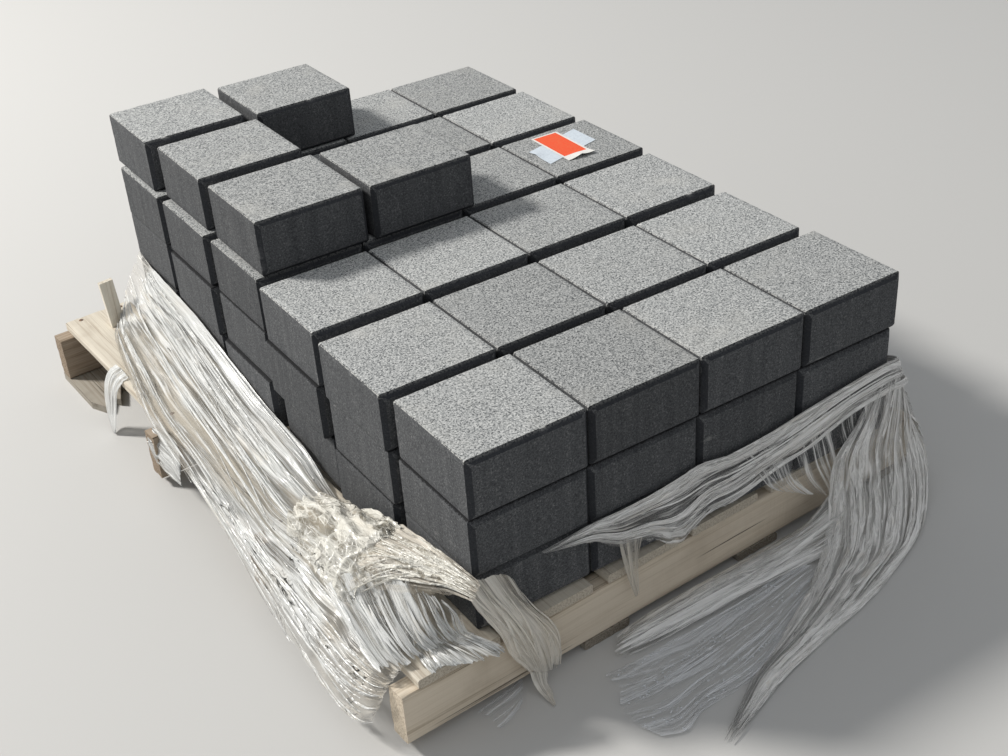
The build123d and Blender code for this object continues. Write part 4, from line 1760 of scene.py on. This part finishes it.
# %% Scrap by the corner
scrap_rows = [
    [(-28, -20, -118), (-24, -42, -117), (-21, -68, -119)],
    [(2, -14, -117), (2, -36, -115), (0, -62, -119)],
    [(34, -8, -117), (28, -30, -116), (22, -52, -119)],
    [(66, -2, -118), (52, -20, -117), (36, -42, -119)],
]
film_sheet(
    "film_ground_scrap",
    scrap_rows,
    clear_film,
    (0.0, 0.0, 1.0),
    "laid",
    step=(0.006, 0.004),
    fold=(0.0010, 0.03, 0.3),
    fray=(0.002, 0.004),
    ends=((0.004, 0.004), (0.004, 0.004)),
    seed=161,
)

# %% [markdown]
# ### Hanging strips
#
# Two narrow torn strips hang from the deck's left edge.

# %% Hanging strips
strip_rows = {
    "film_strip_far": [
        [(-150, 988, 5), (-151, 1018, 8), (-152, 1050, 5)],
        [(-166, 988, -4), (-168, 1020, -2), (-169, 1053, -6)],
        [(-176, 996, -24), (-180, 1024, -26), (-182, 1053, -32)],
        [(-182, 1004, -58), (-186, 1028, -62), (-188, 1053, -66)],
        [(-188, 1008, -92), (-190, 1030, -94), (-191, 1050, -96)],
        [(-194, 1012, -117), (-195, 1018, -118), (-195, 1024, -118)],
    ],
    "film_strip_near": [
        [(-170, 838, -22), (-173, 838, -28), (-175, 838, -33)],
        [(-164, 806, 2), (-175, 808, -34), (-180, 806, -72)],
        [(-162, 765, 3), (-176, 768, -36), (-182, 772, -75)],
        [(-162, 722, 2), (-176, 726, -32), (-182, 740, -70)],
        [(-172, 700, -34), (-177, 697, -47), (-180, 692, -60)],
    ],
}
for name, rows in strip_rows.items():
    film_sheet(
        name + "_torn",
        rows,
        white_film,
        (-1.0, 0.0, 0.0),
        "hung",
        [name],
        step=(0.005, 0.0025),
        fold=(0.0015, 0.008, 0.2),
        fray=(0.002, 0.002),
        seed=171,
    )

# %% [markdown]
# ## Drops of water
#
# Rain has beaded on the clear sheet along its folds. A tree scatters points over the
# sheet, keeps the ones in long bands, and sets a flattened drop of random size on each.

# %% Water finish
water, tree, shader = new_finish("water_drop", Roughness=0.05, Alpha=0.55)[:3]
shader.inputs["Base Color"].default_value = (0.85, 0.88, 0.92, 1.0)
shader.inputs["Specular IOR Level"].default_value = 0.9
print("drops are of", water.name)

# %% Tree for drops
drop_tree, given, result = new_shape_tree(
    "drops",
    [("Density", "Float"), ("Least", "Float"), ("Most", "Float"), ("Seed", "Int"), ("Finish", "Material")],
)
tree = drop_tree
where = node_output(tree, "GeometryNodeInputPosition")
banded = scaled(tree, where, (7.0, 45.0, 7.0))
bands = node_output(tree, "ShaderNodeTexNoise", {"Vector": banded, "Scale": 1.0})
kept = faded(tree, bands, 0.5, 0.62)
inputs = {"Mesh": given["Geometry"], "Density": times(tree, given["Density"], kept)}
spots = add(tree, "GeometryNodeDistributePointsOnFaces", inputs)
tree.links.new(given["Seed"], spots.inputs["Seed"])
ball = node_output(tree, "GeometryNodeMeshIcoSphere", {"Radius": 1.0, "Subdivisions": 2})
sizes = add(tree, "FunctionNodeRandomValue", {"Seed": given["Seed"]}, data_type="FLOAT")
tree.links.new(given["Least"], sizes.inputs[2])
tree.links.new(given["Most"], sizes.inputs[3])
drop_size = sizes.outputs[1]
inputs = {"X": drop_size, "Y": drop_size, "Z": times(tree, drop_size, 0.6)}
squat = node_output(tree, "ShaderNodeCombineXYZ", inputs)
inputs = {"Points": spots.outputs["Points"], "Instance": ball, "Scale": squat}
end_tree(tree, copies(tree, inputs), given, result)
print("drop tree nodes", len(tree.nodes))

# %% Scatter the drops
drops = grown(
    "drops_of_water",
    clear_sheet.data.copy(),
    drop_tree,
    density=16000.0,
    least=0.0007,
    most=0.0021,
    seed=4,
    finish=water,
)
drops.data.shade_smooth()
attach(drops, "root")
print("drops", len(drops.data.vertices) // 42)

# %% [markdown]
# ## Labels
#
# A sticker with a white border lies on a pale strip of paper. Both are flat rectangles that
# lift a little at their corners. The sticker is bare: an orange field with worn patches.

# %% Paper finishes


def paper_finish(name, colour, worn):
    """Matt paper, worn along its fibres and in blotches."""
    material, tree, shader, place = new_finish(name, Roughness=0.6)
    fibre = noise(tree, place, 260.0, 4.0)
    blotch = noise(tree, place, 45.0, 3.0)
    paper = mixed(tree, faded(tree, fibre, 0.4, 0.7), colour, worn)
    paper = mixed(tree, times(tree, faded(tree, blotch, 0.55, 0.8), 0.5), paper, worn)
    feed(tree, shader.inputs["Base Color"], paper)
    feed(tree, shader.inputs["Normal"], bumped(tree, blotch, 0.3, 0.001))
    return material


white_paper = paper_finish("white_paper", (0.80, 0.79, 0.76), (0.70, 0.69, 0.66))
orange_paper = paper_finish("orange_paper", (0.84, 0.078, 0.012), (0.80, 0.12, 0.03))
blue_paper = paper_finish("blue_paper", (0.64, 0.71, 0.78), (0.56, 0.62, 0.69))
print("papers", white_paper.name, orange_paper.name, blue_paper.name)

# %% Label mesh
label_squares = (28, 44)
label_clearance = 0.0009


def label_mesh(name, node, turn, size, lifts, materials, field=None, skew=0.0):
    """A thin sheet in the place of a node, its corners lifted, with an inner field."""
    low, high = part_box(node)
    middle = (low + high) / 2
    xs = np.linspace(-0.5, 0.5, label_squares[0] + 1)
    ys = np.linspace(-0.5, 0.5, label_squares[1] + 1)
    if field:
        xs[np.abs(xs - field[0]).argmin()], xs[np.abs(xs - field[1]).argmin()] = field[:2]
        ys[np.abs(ys - field[2]).argmin()], ys[np.abs(ys - field[3]).argmin()] = field[2:]
    points = []
    for x in xs:
        for y in ys:
            rise = sum(
                lift * max(0.0, 1 - np.hypot((x - cx) * size[0], (y - cy) * size[1]) / reach) ** 2
                for cx, cy, reach, lift in lifts
            )
            points.append((x * size[0], y * size[1] + x * size[0] * skew, rise))
    faces = grid_faces(*label_squares)
    slots = []
    for x in (xs[:-1] + xs[1:]) / 2:
        for y in (ys[:-1] + ys[1:]) / 2:
            inner = bool(field) and field[0] < x < field[1] and field[2] < y < field[3]
            slots.append(1 if inner else 0)
    mesh = mesh_of(name, points, faces)
    for material in materials:
        mesh.materials.append(material)
    mesh.polygons.foreach_set("material_index", slots)
    place = Matrix.Translation((middle.x, middle.y, low.z + label_clearance))
    mesh.transform(place @ Matrix.Rotation(stack_turn + radians(turn), 4, "Z"))
    mesh.shade_smooth()
    label = shown(name, mesh)
    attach(label, "root")
    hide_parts(node)
    return label


# %% Lay the labels
strip_size, sticker_size = (0.131, 0.072), (0.060, 0.131)
paper_strip = label_mesh(
    "pale_paper_strip",
    "paper_strip",
    0.0,
    strip_size,
    [(-0.5, 0.2, 0.03, 0.003)],
    [blue_paper],
    skew=0.27,
)
sticker = label_mesh(
    "orange_sticker",
    "sticker",
    -1.5,
    sticker_size,
    [(0.0, -0.5, 0.035, 0.006), (0.5, -0.5, 0.03, 0.004)],
    [white_paper, orange_paper],
    (-0.42, 0.42, -0.34, 0.47),
)
print("labels", strip_size, sticker_size)

# %% [markdown]
# ## Floor, light and camera
#
# The set is a plain pale floor under soft light. The main lamp stands behind the load to
# the left, so the tops are light, the left side is half lit and the front is in shade, and
# the world fills the shade. The camera stands where the photographer stood.

# %% Floor and world
floor_reach = 14
floor_seen, floor_given_back = (0.58, 0.577, 0.567), (0.46, 0.46, 0.45)
sky_light, sky_seen_more = 0.43, 0.37


def seen_directly(tree):
    """One for rays from the camera, a reflection or a pane, and nought for light that spreads."""
    light_path = add(tree, "ShaderNodeLightPath").outputs
    seen = calc(tree, "MAXIMUM", light_path["Is Camera Ray"], light_path["Is Glossy Ray"])
    return calc(tree, "MAXIMUM", seen, light_path["Is Transmission Ray"])


floor_finish, tree, shader = new_finish("pale_floor", Roughness=0.9)[:3]
floor_colour = mixed(tree, seen_directly(tree), floor_given_back, floor_seen)
feed(tree, shader.inputs["Base Color"], floor_colour)
corners = [(x * floor_reach, y * floor_reach, 0) for x, y in ((-1, -1), (1, -1), (1, 1), (-1, 1))]
floor_mesh = mesh_of("floor", corners, [(0, 1, 2, 3)])
floor_mesh.materials.append(floor_finish)
floor = shown("floor", floor_mesh)
floor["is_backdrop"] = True

world = bpy.data.worlds.new("studio")
bpy.context.scene.world = world
world.use_nodes = True
tree = world.node_tree
tree.nodes.clear()
sky = add(tree, "ShaderNodeBackground", {"Color": (0.95, 0.975, 1.0, 1.0)})
feed(tree, sky.inputs["Strength"], plus(tree, times(tree, seen_directly(tree), sky_seen_more), sky_light))
tree.links.new(sky.outputs[0], add(tree, "ShaderNodeOutputWorld").inputs["Surface"])
print("floor", 2 * floor_reach, "m wide, world nodes", len(tree.nodes))

# %% Lamp and camera


def area_lamp(name, place, aim, size, power, colour):
    """A round soft lamp that looks at a place."""
    lamp = bpy.data.lights.new(name, "AREA")
    lamp.shape = "DISK"
    lamp.size = size
    lamp.energy = power
    lamp.color = colour
    holder = shown(name, lamp)
    holder.location = place
    holder.rotation_euler = (Vector(aim) - Vector(place)).to_track_quat("-Z", "Y").to_euler()


area_lamp("main_lamp", (-4.68, 5.4, 5.96), (0.0, 0.0, 0.2), 1.44, 923.0, (1.0, 0.97, 0.92))

view = bpy.data.cameras.new("view")
view.lens = 49.78
view.sensor_width = 36.0
camera = shown("view", view)
camera_right = Vector((0.80509, -0.58979, -0.06305))
camera_up = Vector((0.36063, 0.40234, 0.84147))
camera_back = -Vector((0.47092, 0.70020, -0.53662))
turn = Matrix((camera_right, camera_up, camera_back)).transposed()
camera.matrix_world = Matrix.Translation((-1.146, -1.750, 1.487)) @ turn.to_4x4()
bpy.context.scene.camera = camera
bpy.context.scene.view_settings.view_transform = "Standard"
print("camera", [round(v, 3) for v in camera.matrix_world.translation])

# %% Bounds of what is shown
low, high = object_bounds()
